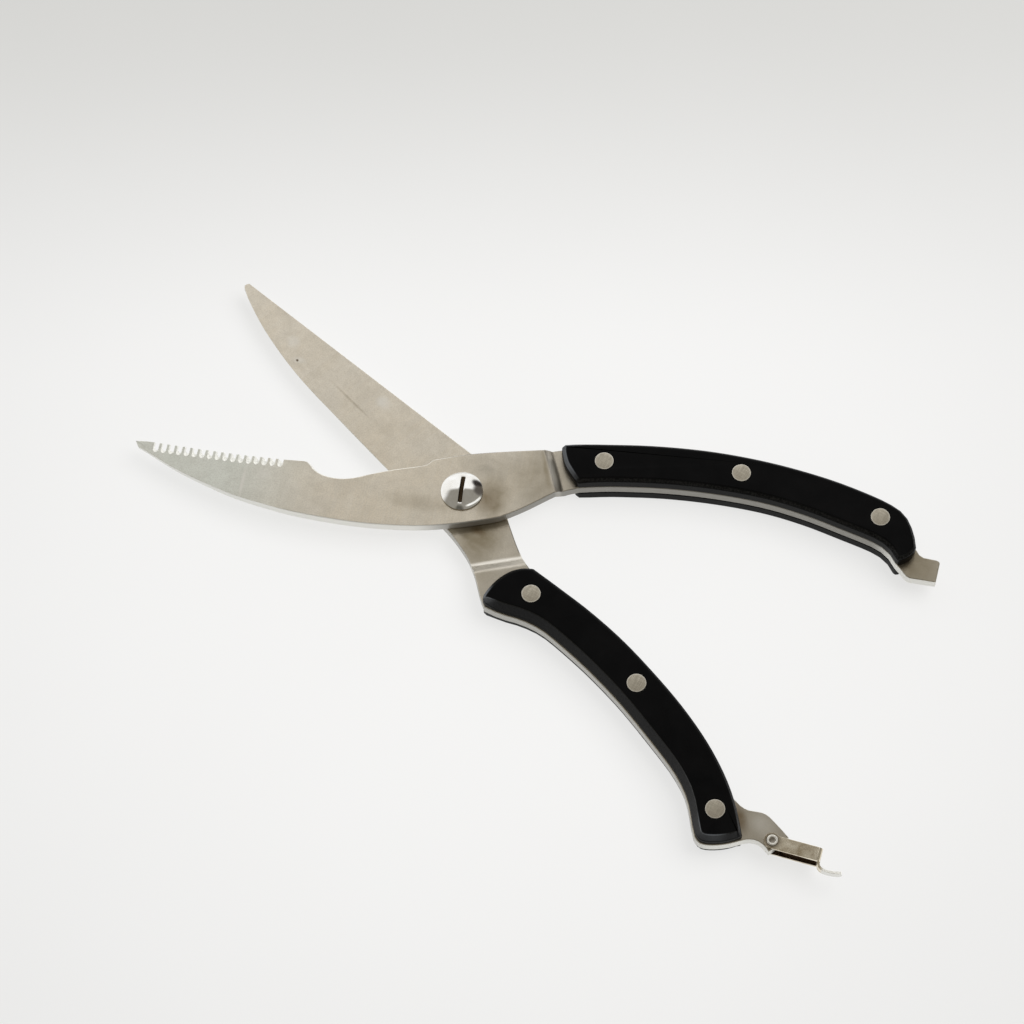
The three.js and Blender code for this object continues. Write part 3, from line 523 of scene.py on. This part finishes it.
# The serrated front and the plain end are painted highlights; the plain front is scuffed.
SERRATED_BEVEL_HIGHLIGHT = [((30.5, 14.5), (6.0, 10.0))]
PLAIN_SCUFF_AND_HIGHLIGHT = [((131.0, -21.0), (7.0, 5.0)), ((31.5, -18.4), (5.0, 4.0))]
FINISH = {
    "serrated_blade": blade_steel("serrated", grey_from=-40.0, grey_to=-76.0, dim=1.0,
                                  marks=SERRATED_MARKS, bend_highlights=SERRATED_BEND_HIGHLIGHTS),
    "plain_blade": blade_steel("plain", grey_from=-90.0, grey_to=-190.0, dim=0.7,
                               marks=PLAIN_MARKS, bend_highlights=PLAIN_BEND_HIGHLIGHTS),
    "serrated_plastic": handle_plastic("serrated", polish=(0.1, 0.75), scuffs_and_highlights=SERRATED_BEVEL_HIGHLIGHT),
    "plain_plastic": handle_plastic("plain", polish=(0.6, 1.0), scuffs_and_highlights=PLAIN_SCUFF_AND_HIGHLIGHT),
    "rivet": rivet_steel(),
    "screw": polished_steel(),
    "latch": latch_nickel(),
    "eyelet": eyelet_nickel(),
    "spring": spring_steel(),
}


# ---- Meshes --------------------------------------------------------------------------------------


def show(mesh, name, finish, body, slot, *nodes):
    """Puts a mesh in the scene as a piece that rides on a body, if given, and stands for those nodes."""
    piece = bpy.data.objects.new(name, mesh)
    bpy.context.scene.collection.objects.link(piece)
    mesh.materials.clear()
    mesh.materials.append(FINISH[finish])
    if body:
        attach(piece, body)
    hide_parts(*nodes)
    return piece


def shaded(piece, sharp_degrees):
    """Smooth shading that breaks at sharp edges and keeps flat faces flat."""
    piece.data.shade_smooth()
    piece.data.set_sharp_from_angle(angle=math.radians(sharp_degrees))
    weighted = piece.modifiers.new("flat faces", "WEIGHTED_NORMAL")
    weighted.keep_sharp = True


def edge_middle(edge):
    return (edge.verts[0].co + edge.verts[1].co) / 2


def whole(edge):
    return 1.0


def merged_copy(node, name, crisp_round=(), share=whole):
    """The node's triangles with doubles merged and flat faces joined.

    Its rims, the edges that run more along the plate than up it, are marked for rounding by a share
    of the full radius, except within reach of the points in crisp_round, each (x, y, reach).
    """
    rim_angle = math.radians(14)
    flat_angle = math.radians(0.4)
    shortest = 0.4 * MM
    mesh = frame["nodes"][node].data.copy()
    mesh.name = name
    shell = bmesh.new()
    shell.from_mesh(mesh)
    bmesh.ops.remove_doubles(shell, verts=shell.verts, dist=MERGE)
    bmesh.ops.dissolve_limit(shell, angle_limit=flat_angle, verts=shell.verts, edges=shell.edges)
    weight = shell.edges.layers.float.new("bevel_weight_edge")
    for edge in shell.edges:
        along = edge.verts[0].co - edge.verts[1].co
        middle = edge_middle(edge)
        near = any(math.hypot(middle.x - x, middle.y - y) < reach for x, y, reach in crisp_round)
        level = abs(along.z) < 0.5 * along.length
        if level and not near and along.length > shortest and edge.calc_face_angle(0.0) > rim_angle:
            edge[weight] = share(edge)
    shell.to_mesh(mesh)
    shell.free()
    return mesh


def rounded_rims(piece, radius, steps, sharp_degrees):
    """Rounds the marked rims of a merged copy, and shades it."""
    rims = piece.modifiers.new("rounded rims", "BEVEL")
    rims.limit_method = "WEIGHT"
    rims.width = radius
    rims.segments = steps
    rims.use_clamp_overlap = False
    rims.miter_outer = "MITER_ARC"
    shaded(piece, sharp_degrees)


def surface(name, points, wrap_rows, wrap_columns, **attributes):
    """A mesh over a grid of points, rows by columns by 3, with coincident points merged.

    wrap_rows joins the last row to the first, and wrap_columns the last column to the first. Each
    attribute is a value for every point of the grid, which a material can read by its name.
    """
    rows, columns = points.shape[:2]
    index = np.arange(rows * columns).reshape(rows, columns)
    down = np.roll(index, -1, 0)[: rows if wrap_rows else rows - 1]
    here = index[: len(down)]
    right = np.roll(here, -1, 1)
    corner = np.roll(down, -1, 1)
    quads = np.stack([here, right, corner, down], -1)
    quads = quads[:, : columns if wrap_columns else columns - 1].reshape(-1, 4)
    mesh = bpy.data.meshes.new(name)
    mesh.from_pydata(points.reshape(-1, 3).tolist(), [], quads.tolist())
    for label, values in attributes.items():
        layer = mesh.attributes.new(label, "FLOAT", "POINT")
        layer.data.foreach_set("value", values.astype(np.float32).ravel())
    shell = bmesh.new()
    shell.from_mesh(mesh)
    bmesh.ops.remove_doubles(shell, verts=shell.verts, dist=MERGE)
    bmesh.ops.dissolve_degenerate(shell, edges=shell.edges, dist=MERGE)
    bmesh.ops.recalc_face_normals(shell, faces=shell.faces)
    shell.to_mesh(mesh)
    shell.free()
    return mesh


def softened(profile, radius, closed=False):
    """A profile whose corners are replaced by short arcs.

    Each corner gives five points of the curve (1-t)^2 A + 2t(1-t) corner + t^2 B, where A and B lie
    one radius, or a third of the way if that is less, towards the neighbouring points.
    """
    points = np.array(profile, float)
    before, after = np.roll(points, 1, 0), np.roll(points, -1, 0)
    t = np.linspace(0, 1, 5)[:, None]

    def towards(target):
        step = target - points
        length = np.linalg.norm(step, axis=1, keepdims=True)
        return points + step / length * np.minimum(radius, length / 3)

    a, b = towards(before)[:, None], towards(after)[:, None]
    arcs = (1 - t) ** 2 * a + 2 * t * (1 - t) * points[:, None] + t**2 * b
    if closed:
        return arcs.reshape(-1, 2)
    return np.vstack([points[:1], arcs[1:-1].reshape(-1, 2), points[-1:]])


PIVOT = (0, 0)


def turned(name, profile, centre, segments=96, closed=False):
    """A round body: each profile point (radius, height) goes round the upright line through centre.

    A point of the grid is centre + (radius cos a, radius sin a, height), in millimetres until the end.
    """
    radius, height = np.array(profile, float).T
    angle = np.linspace(0, 2 * math.pi, segments, endpoint=False)
    x = centre[0] / MM + radius[:, None] * np.cos(angle)
    y = centre[1] / MM + radius[:, None] * np.sin(angle)
    z = np.broadcast_to(height[:, None], x.shape)
    share = np.broadcast_to((radius / radius.max())[:, None], x.shape)
    points = np.stack([x, y, z], -1) * MM
    return surface(name, points, wrap_rows=closed, wrap_columns=True, from_axis=share)


def middle_of(node):
    low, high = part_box(node)
    return (low + high) / 2


# ---- Blades and handle scales --------------------------------------------------------------------


BLADE_RIM = 0.3
SCALE_RIM = 0.35
FINE_RIM = 0.1
TOOTH_SHARE = 0.35
TEETH_END = -46.0
LEAST_LEVEL = 0.7
COUNTERBORE_REACH = 3.4


def blade(half):
    """A blade plate with rounded rims, finer at the teeth. The bend lines of its joggle stay as cut."""

    def share(edge):
        middle = edge_middle(edge) / MM
        bend_line = all(abs(face.normal.z) > LEAST_LEVEL for face in edge.link_faces)
        if bend_line and middle.x > 0:
            return 0.0
        return TOOTH_SHARE if middle.x < TEETH_END else 1.0

    name = f"{half}_blade"
    mesh = merged_copy(name, f"{half}_ground_blade", share=share)
    piece = show(mesh, f"{half}_ground_blade", name, BODY_OF_HALF[half], "blade_steel", name)
    rounded_rims(piece, BLADE_RIM * MM, steps=2, sharp_degrees=32)


def scale(half, side):
    """A moulded scale. The rims of its counterbores stay crisp."""
    node = f"{half}_scale_{side}"
    rivets = [middle_of(f"{half}_rivet_sleeve_{i}") for i in (1, 2, 3)]
    crisp = [(at.x, at.y, COUNTERBORE_REACH * MM) for at in rivets]
    mesh = merged_copy(node, f"{half}_moulded_scale_{side}", crisp)
    piece = show(mesh, f"{half}_moulded_scale_{side}", f"{half}_plastic", BODY_OF_HALF[half],
                 "handle_plastic", node)
    rounded_rims(piece, SCALE_RIM * MM, steps=3, sharp_degrees=30)


# ---- Rivets --------------------------------------------------------------------------------------

HEAD_HEIGHT = 1.6
CROWN = 0.09
EDGE_IN, EDGE_DOWN = 0.12, 0.14
BORE_ROOF = 2.2
PIN_CHAMFER = 0.2
SHANK_RADIUS = 2.0
BORE_RADIUS = 1.3
PIN_RADIUS = 1.1
SHOULDER_HEIGHT = 6.3


def crowned_head(radius, face, seat, outward):
    """Profile of a head from its seat to the axis: the face falls by CROWN (r / radius)^2."""
    r = np.linspace(radius - EDGE_IN, 0, 9)
    dome = np.stack([r, face - outward * CROWN * (r / radius) ** 2], 1)
    edge = [[radius, seat], [radius, face - outward * (CROWN + EDGE_DOWN)]]
    return np.vstack([edge, dome])


def rivet_sleeve(half, number):
    """The upper half of a handle rivet: a head on a tube that the pin is pressed into."""
    node = f"{half}_rivet_sleeve_{number}"
    low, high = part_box(node)
    top, tube, radius = high.z / MM, low.z / MM, (high.x - low.x) / 2 / MM
    roof = top - BORE_ROOF
    inner = [[0, roof], [BORE_RADIUS, roof], [BORE_RADIUS, tube], [SHANK_RADIUS, tube]]
    seat = [[SHANK_RADIUS, top - HEAD_HEIGHT]]
    profile = np.vstack([inner, seat, crowned_head(radius, top, top - HEAD_HEIGHT, 1)])
    mesh = turned(f"{half}_sleeve_{number}", profile, middle_of(node))
    piece = show(mesh, f"{half}_sleeve_{number}", "rivet", BODY_OF_HALF[half], "rivet_steel", node)
    shaded(piece, sharp_degrees=38)


def rivet_pin(half, number):
    """The lower half of a handle rivet: a head, a shank up to its shoulder, and a thinner pin."""
    node = f"{half}_rivet_pin_{number}"
    low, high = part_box(node)
    bottom, tip, radius = low.z / MM, high.z / MM, (high.x - low.x) / 2 / MM
    head = crowned_head(radius, bottom, bottom + HEAD_HEIGHT, -1)[::-1]
    shank = [[SHANK_RADIUS, bottom + HEAD_HEIGHT], [SHANK_RADIUS, SHOULDER_HEIGHT]]
    pin = [[PIN_RADIUS, SHOULDER_HEIGHT], [PIN_RADIUS, tip - PIN_CHAMFER],
           [PIN_RADIUS - PIN_CHAMFER, tip], [0, tip]]
    profile = np.vstack([head, shank, pin])
    mesh = turned(f"{half}_pin_{number}", profile, middle_of(node), segments=64)
    piece = show(mesh, f"{half}_pin_{number}", "rivet", BODY_OF_HALF[half], "rivet_steel", node)
    shaded(piece, sharp_degrees=38)


# ---- Pivot ---------------------------------------------------------------------------------------

SCREW_RADIUS = 6.5
SCREW_TOP = 12.4
DOME_RISE = 2.05
RIM_HEIGHT = 0.4
SLOT_HALF = 0.6
SLOT_FLOOR = 11.25
SLOT_ACROSS = math.radians(21.3)
LIP = 0.22
RIM_CHAMFER = 0.2
DOME_STEPS = 26
SHANK, THREAD = 3.0, 2.5
SHANK_BOTTOM, SHOULDER, SHANK_TOP = 1.0, 2.7, 10.0
WASHER_BORE = 2.85


def dome_height(u, v):
    """Height of the dome over a point: a ball of radius (R^2 + rise^2) / (2 rise) under SCREW_TOP."""
    ball = (SCREW_RADIUS**2 + DOME_RISE**2) / (2 * DOME_RISE)
    return SCREW_TOP - ball + np.sqrt(ball**2 - np.minimum(u**2 + v**2, SCREW_RADIUS**2))


def screw_head_points():
    """Rows cross the slot and columns follow it.

    A row at v reaches from -half to half, with half = sqrt(R^2 - v^2). Its points go over the dome to
    the slot's lip, down the slot's wall to the floor, up the far wall, over the dome, down the rim,
    and back across the flat underside. Where the dome is lower than the floor the slot has no depth.
    """
    rows = 121
    sweep = np.linspace(-math.pi / 2, math.pi / 2, rows)
    v = SCREW_RADIUS * np.sin(sweep)
    half = SCREW_RADIUS * np.cos(sweep)
    gap = np.minimum(SLOT_HALF, half / 2)
    depth = np.maximum(dome_height(gap, v) - SLOT_FLOOR, 0)
    lip = np.minimum(LIP, depth / 2)
    columns = []

    def put(u, z):
        columns.append(np.stack([u, v, z], 1))

    for s in np.linspace(0, 1, DOME_STEPS):
        u = -half + (half - gap - lip) * s
        put(u, dome_height(u, v))
    edge = dome_height(gap, v)
    shoulder = 0.3 * lip
    put(-gap - shoulder, edge - shoulder)
    put(-gap, edge - lip)
    floor_height = edge - depth
    for share in (-1.0, -0.9, 0.0, 0.9, 1.0):
        put(gap * share, floor_height)
    put(gap, edge - lip)
    put(gap + shoulder, edge - shoulder)
    for s in np.linspace(1, 0, DOME_STEPS):
        u = half - (half - gap - lip) * s
        put(u, dome_height(u, v))
    under = SCREW_TOP - DOME_RISE - RIM_HEIGHT
    put(half, np.full(rows, under + RIM_CHAMFER))
    shrink = 1 - RIM_CHAMFER / SCREW_RADIUS
    for s in np.linspace(1, -1, 9):
        columns.append(np.stack([half * s, v, np.full(rows, under)], 1) * (shrink, shrink, 1))
    put(-half, np.full(rows, under + RIM_CHAMFER))
    return np.stack(columns, 1)


def pivot_screw():
    """The slotted dome, with the plain shank turned below it, as one piece.

    The head's own axes u and v are turned by SLOT_ACROSS: x = u cos - v sin and y = u sin + v cos.
    """
    points = screw_head_points()
    u, v, z = np.moveaxis(points, -1, 0)
    cos, sin = math.cos(SLOT_ACROSS), math.sin(SLOT_ACROSS)
    placed = np.stack([u * cos - v * sin, u * sin + v * cos, z], -1) * MM
    sunk = (dome_height(u, v) - z > LIP) & (np.abs(u) <= SLOT_HALF) & (z > SLOT_FLOOR - LIP)
    head = surface("screw head", placed, wrap_rows=False, wrap_columns=True, sunk=sunk)
    corners = [[0, SHANK_BOTTOM], [THREAD, SHANK_BOTTOM], [THREAD, SHOULDER], [SHANK, SHOULDER],
               [SHANK, SHANK_TOP], [0, SHANK_TOP]]
    shank = turned("screw shank", softened(corners, radius=0.15), PIVOT, segments=64)
    joined = bmesh.new()
    joined.from_mesh(head)
    joined.from_mesh(shank)
    mesh = bpy.data.meshes.new("slotted_screw")
    joined.to_mesh(mesh)
    joined.free()
    piece = show(mesh, "slotted_screw", "screw", "plain_half", "polished_steel", "pivot_screw")
    shaded(piece, sharp_degrees=35)


def pivot_nut():
    """The flat nut with its two spanner holes."""
    mesh = merged_copy("pivot_nut", "spanner_nut")
    piece = show(mesh, "spanner_nut", "plain_blade", "plain_half", "blade_steel", "pivot_nut")
    rounded_rims(piece, FINE_RIM * MM, steps=2, sharp_degrees=32)


def pivot_washer():
    """A flat ring with softened corners."""
    low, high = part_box("pivot_washer")
    outer, bottom, top = (high.x - low.x) / 2 / MM, low.z / MM, high.z / MM
    corners = [[WASHER_BORE, bottom], [outer, bottom], [outer, top], [WASHER_BORE, top]]
    mesh = turned("thin_washer", softened(corners, radius=0.12, closed=True), PIVOT, closed=True)
    piece = show(mesh, "thin_washer", "plain_blade", "plain_half", "blade_steel", "pivot_washer")
    shaded(piece, sharp_degrees=38)


def pivot_spring():
    """Wire of radius w along a helix of one and a half turns, with an upright leg at each end.

    A grid point is path + w (cos b, along the outward radius; sin b, across it). The coil runs from
    -HALF_OPENING to three half turns + HALF_OPENING.
    """
    wire, radius, rise, leg, middle = 0.3, 4.1, 1.125, 1.5, 6.35
    coil_steps, leg_steps, sides = 160, 6, 14
    coil = np.linspace(-HALF_OPENING, 3 * math.pi + HALF_OPENING, coil_steps)
    coil_z = middle + rise * (np.linspace(0, 1, coil_steps) - 0.5)
    down = np.linspace(leg, 0.25, leg_steps)
    angle = np.concatenate([np.full(leg_steps, coil[0]), coil, np.full(leg_steps, coil[-1])])
    z = np.concatenate([coil_z[0] - down, coil_z, coil_z[-1] + down[::-1]])
    outward = np.stack([np.cos(angle), np.sin(angle), np.zeros_like(angle)], 1)
    path = radius * outward + np.stack([0 * z, 0 * z, z], 1)
    along = np.gradient(path, axis=0)
    across = np.cross(along / np.linalg.norm(along, axis=1, keepdims=True), outward)
    turn = np.linspace(0, 2 * math.pi, sides, endpoint=False)[None, :, None]
    ring = path[:, None] + wire * (np.cos(turn) * outward[:, None] + np.sin(turn) * across[:, None])
    first = np.broadcast_to(path[:1, None], (1, sides, 3))
    last = np.broadcast_to(path[-1:, None], (1, sides, 3))
    points = np.concatenate([first, ring, last]) * MM
    mesh = surface("torsion_spring", points, wrap_rows=False, wrap_columns=True)
    piece = show(mesh, "torsion_spring", "spring", None, "spring_steel", "pivot_spring")
    shaded(piece, sharp_degrees=50)
    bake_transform(piece)


# ---- Latch ---------------------------------------------------------------------------------------

TONGUE_END = 0.9
TONGUE_CORNER = 1.25
LEVEL_WITHIN = 0.01
SQUARE_FROM = 1.0
FACES_ENDWAYS, FACES_UP = 0.7, 0.9


def latch_bail():
    """The bent latch, with the free end of its tongue rounded."""
    mesh = merged_copy("latch_bail", "bent_latch")
    shell = bmesh.new()
    shell.from_mesh(mesh)
    end = max(vertex.co.x for vertex in shell.verts)

    def is_end_corner(edge):
        a, b = edge.verts
        at_end = min(a.co.x, b.co.x) > end - TONGUE_END * MM
        level = abs(a.co.z - b.co.z) < LEVEL_WITHIN * MM
        square = edge.calc_face_angle(0.0) > SQUARE_FROM
        facing = all(abs(face.normal.x) > FACES_ENDWAYS or abs(face.normal.z) > FACES_UP
                     for face in edge.link_faces)
        return at_end and level and square and facing

    corners = [edge for edge in shell.edges if is_end_corner(edge)]
    bmesh.ops.bevel(shell, geom=corners, offset=TONGUE_CORNER * MM, offset_type="OFFSET", segments=5,
                    profile=0.5, affect="EDGES")
    shell.to_mesh(mesh)
    shell.free()
    piece = show(mesh, "bent_latch", "latch", "latch", "latch_nickel", "latch_bail")
    rounded_rims(piece, FINE_RIM * MM, steps=2, sharp_degrees=30)


def latch_rivet():
    """Eyelet rivet: a rolled rim round a sunk middle on top, and a flared foot below."""
    low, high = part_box("latch_rivet")
    top, bottom = high.z / MM, low.z / MM
    head, shank, dimple = 1.75, 1.1, 0.9
    seat, foot = top - 0.55, bottom + 0.4
    profile = [[0, foot - 0.1], [dimple - 0.2, foot - 0.1], [dimple, bottom], [head - 0.35, bottom],
               [head - 0.1, foot - 0.2], [head - 0.1, foot], [shank, foot], [shank, seat],
               [head, seat], [head, seat + 0.25], [head - 0.25, top], [dimple + 0.15, top],
               [dimple - 0.15, seat + 0.15], [0, seat + 0.15]]
    mesh = turned("eyelet_rivet", softened(profile, radius=0.14), middle_of("latch_rivet"),
                  segments=72)
    piece = show(mesh, "eyelet_rivet", "eyelet", "plain_half", "latch_nickel", "latch_rivet")
    shaded(piece, sharp_degrees=45)


for half in ("serrated", "plain"):
    blade(half)
    for side in ("top", "bottom"):
        scale(half, side)
    for number in (1, 2, 3):
        rivet_sleeve(half, number)
        rivet_pin(half, number)
pivot_screw()
pivot_nut()
pivot_washer()
pivot_spring()
latch_bail()
latch_rivet()


# ---- Floor, light and camera ---------------------------------------------------------------------


PAPER_SHADE = (0.165, 0.165, 0.168, 1.0)
PAPER_LIGHT = (0.185, 0.185, 0.19, 1.0)
GLOW_MIDDLE = (1.0, 1.0, 0.99, 1.0)
GLOW_EDGE = (0.84, 0.84, 0.83, 1.0)
GLOW_BACK = (0.68, 0.68, 0.655, 1.0)
FLOOR_DROP = 0.05
GLOW_FADES, GLOW_FADED = 60.0, 320.0
BACK_FADES, BACK_FADED = 40.0, 230.0
SCREEN = (1.12, 1.12, 1.12, 1.0)
ROOM = (0.28, 0.265, 0.235, 1.0)
LAMP = (1.1, 1.1, 1.05, 1.0)
RING_AXIS = (-0.406, 0.411, 0.817)
RING_MIDDLE = (0.664, 0.050, 0.746)
RING_OUTER, RING_INNER = (0.30, 0.34), (0.43, 0.39)
STRIP_WHOLE, STRIP_GONE = math.radians(16), math.radians(33)
SCREEN_BACK = (0.34, 0.52)
SCREEN_LEFT = (-0.62, -0.90)

LENS, SENSOR = 91.5, 36.0
EYE = (0.2088, -0.3036, 0.7244)
EYE_TURN = (26.696, 1.596, 29.009)

# Dark things in the room that the screw's dome mirrors: direction, whole within and gone past so
# many degrees, and colour.
SKY_PATCHES = [
    ((0.17, 0.90, 0.39), 9, 18, (0.03, 0.027, 0.025, 1.0)),
    ((0.487, 0.784, 0.38), 4, 15, (0.12, 0.10, 0.07, 1.0)),
    ((0.18, -0.66, 0.73), 5, 17, (0.10, 0.095, 0.08, 1.0)),
    ((0.42, 0.70, 0.58), 6, 20, (0.10, 0.09, 0.08, 1.0)),
]


def floor():
    """A large pale floor just under the part, lit from within, and dimmer away from the viewer."""
    size = 6.0
    mesh = bpy.data.meshes.new("floor")
    corners = [(-size, -size, 0), (size, -size, 0), (size, size, 0), (-size, size, 0)]
    mesh.from_pydata(corners, [], [(0, 1, 2, 3)])
    plane = bpy.data.objects.new("floor", mesh)
    plane.location.z = -FLOOR_DROP * MM
    bpy.context.scene.collection.objects.link(plane)
    material, tree, shader = new_material("lit pale paper", roughness=0.9, metallic=0.0,
                                          Specular_IOR_Level=0.05, Emission_Strength=0.73)
    own = millimetres(tree)
    paper = add(tree, "TexNoise", {"Vector": own, "Scale": 0.01, "Detail": 2.0})
    colour = mixed(tree, paper.outputs[0], PAPER_SHADE, PAPER_LIGHT)
    tree.links.new(colour, shader.inputs["Base Color"])
    distance = add(tree, "VectorMath", {0: own}, operation="LENGTH").outputs["Value"]
    glow = mixed(tree, remapped(tree, distance, GLOW_FADES, GLOW_FADED), GLOW_MIDDLE, GLOW_EDGE)
    back = dotted(tree, own, AWAY)
    glow = mixed(tree, remapped(tree, back, BACK_FADES, BACK_FADED), glow, GLOW_BACK)
    tree.links.new(glow, shader.inputs["Emission Color"])
    mesh.materials.append(material)


def area_light(name, location, aim, size, power, colour):
    """A large soft disk of light, too diffuse to be seen in the steel."""
    lamp = bpy.data.lights.new(name, "AREA")
    lamp.shape = "DISK"
    lamp.size = size
    lamp.energy = power
    lamp.color = colour
    light = bpy.data.objects.new(name, lamp)
    light.location = location
    light.visible_glossy = False
    direction = np.array(aim, float) - np.array(location, float)
    light.rotation_euler = Vector(direction).to_track_quat("-Z", "Y").to_euler()
    bpy.context.scene.collection.objects.link(light)


def sky_patch(tree, colour, direction, towards, inner, outer, patch):
    """Paints a round patch of sky: whole within inner degrees of a direction, gone past outer."""
    facing = dotted(tree, direction, Vector(towards).normalized())
    mask = remapped(tree, facing, math.cos(math.radians(outer)), math.cos(math.radians(inner)))
    return mixed(tree, mask, colour, patch)


def strip_lamp(tree, colour, direction):
    """Paints a thin curved strip of light, low at the right: part of a ring about an upward axis."""
    across = dotted(tree, direction, RING_AXIS)
    ring = maths(tree, "MULTIPLY", remapped(tree, across, *RING_OUTER),
                 remapped(tree, across, *RING_INNER))
    ends = remapped(tree, dotted(tree, direction, RING_MIDDLE), math.cos(STRIP_GONE),
                    math.cos(STRIP_WHOLE))
    return mixed(tree, maths(tree, "MULTIPLY", ring, ends), colour, LAMP)


def world_light():
    """A studio as the steel sees it: a bright screen at the back and left, a dimmer room in front."""
    world = bpy.data.worlds.new("studio")
    bpy.context.scene.world = world
    world.use_nodes = True
    tree = world.node_tree
    background = tree.nodes["Background"]
    direction = add(tree, "TexCoord").outputs["Generated"]
    back = remapped(tree, dotted(tree, direction, AWAY), *SCREEN_BACK)
    colour = mixed(tree, back, ROOM, SCREEN)
    left = add(tree, "SeparateXYZ", {0: direction}).outputs["X"]
    colour = mixed(tree, remapped(tree, left, *SCREEN_LEFT), colour, SCREEN)
    for towards, inner, outer, patch in SKY_PATCHES:
        colour = sky_patch(tree, colour, direction, towards, inner, outer, patch)
    colour = strip_lamp(tree, colour, direction)
    tree.links.new(colour, background.inputs["Color"])
    background.inputs["Strength"].default_value = 1.0


def camera():
    """A long lens from in front and above."""
    view = bpy.data.cameras.new("camera")
    view.lens = LENS
    view.sensor_width = SENSOR
    eye = bpy.data.objects.new("camera", view)
    eye.location = EYE
    eye.rotation_euler = tuple(math.radians(degrees) for degrees in EYE_TURN)
    bpy.context.scene.collection.objects.link(eye)
    bpy.context.scene.camera = eye


floor()
area_light("key", location=(0.7, 0.6, 1.4), aim=(0, 0, 0), size=1.5, power=24.0,
           colour=(1.0, 0.985, 0.96))
world_light()
camera()
bpy.context.scene.view_settings.view_transform = "Standard"
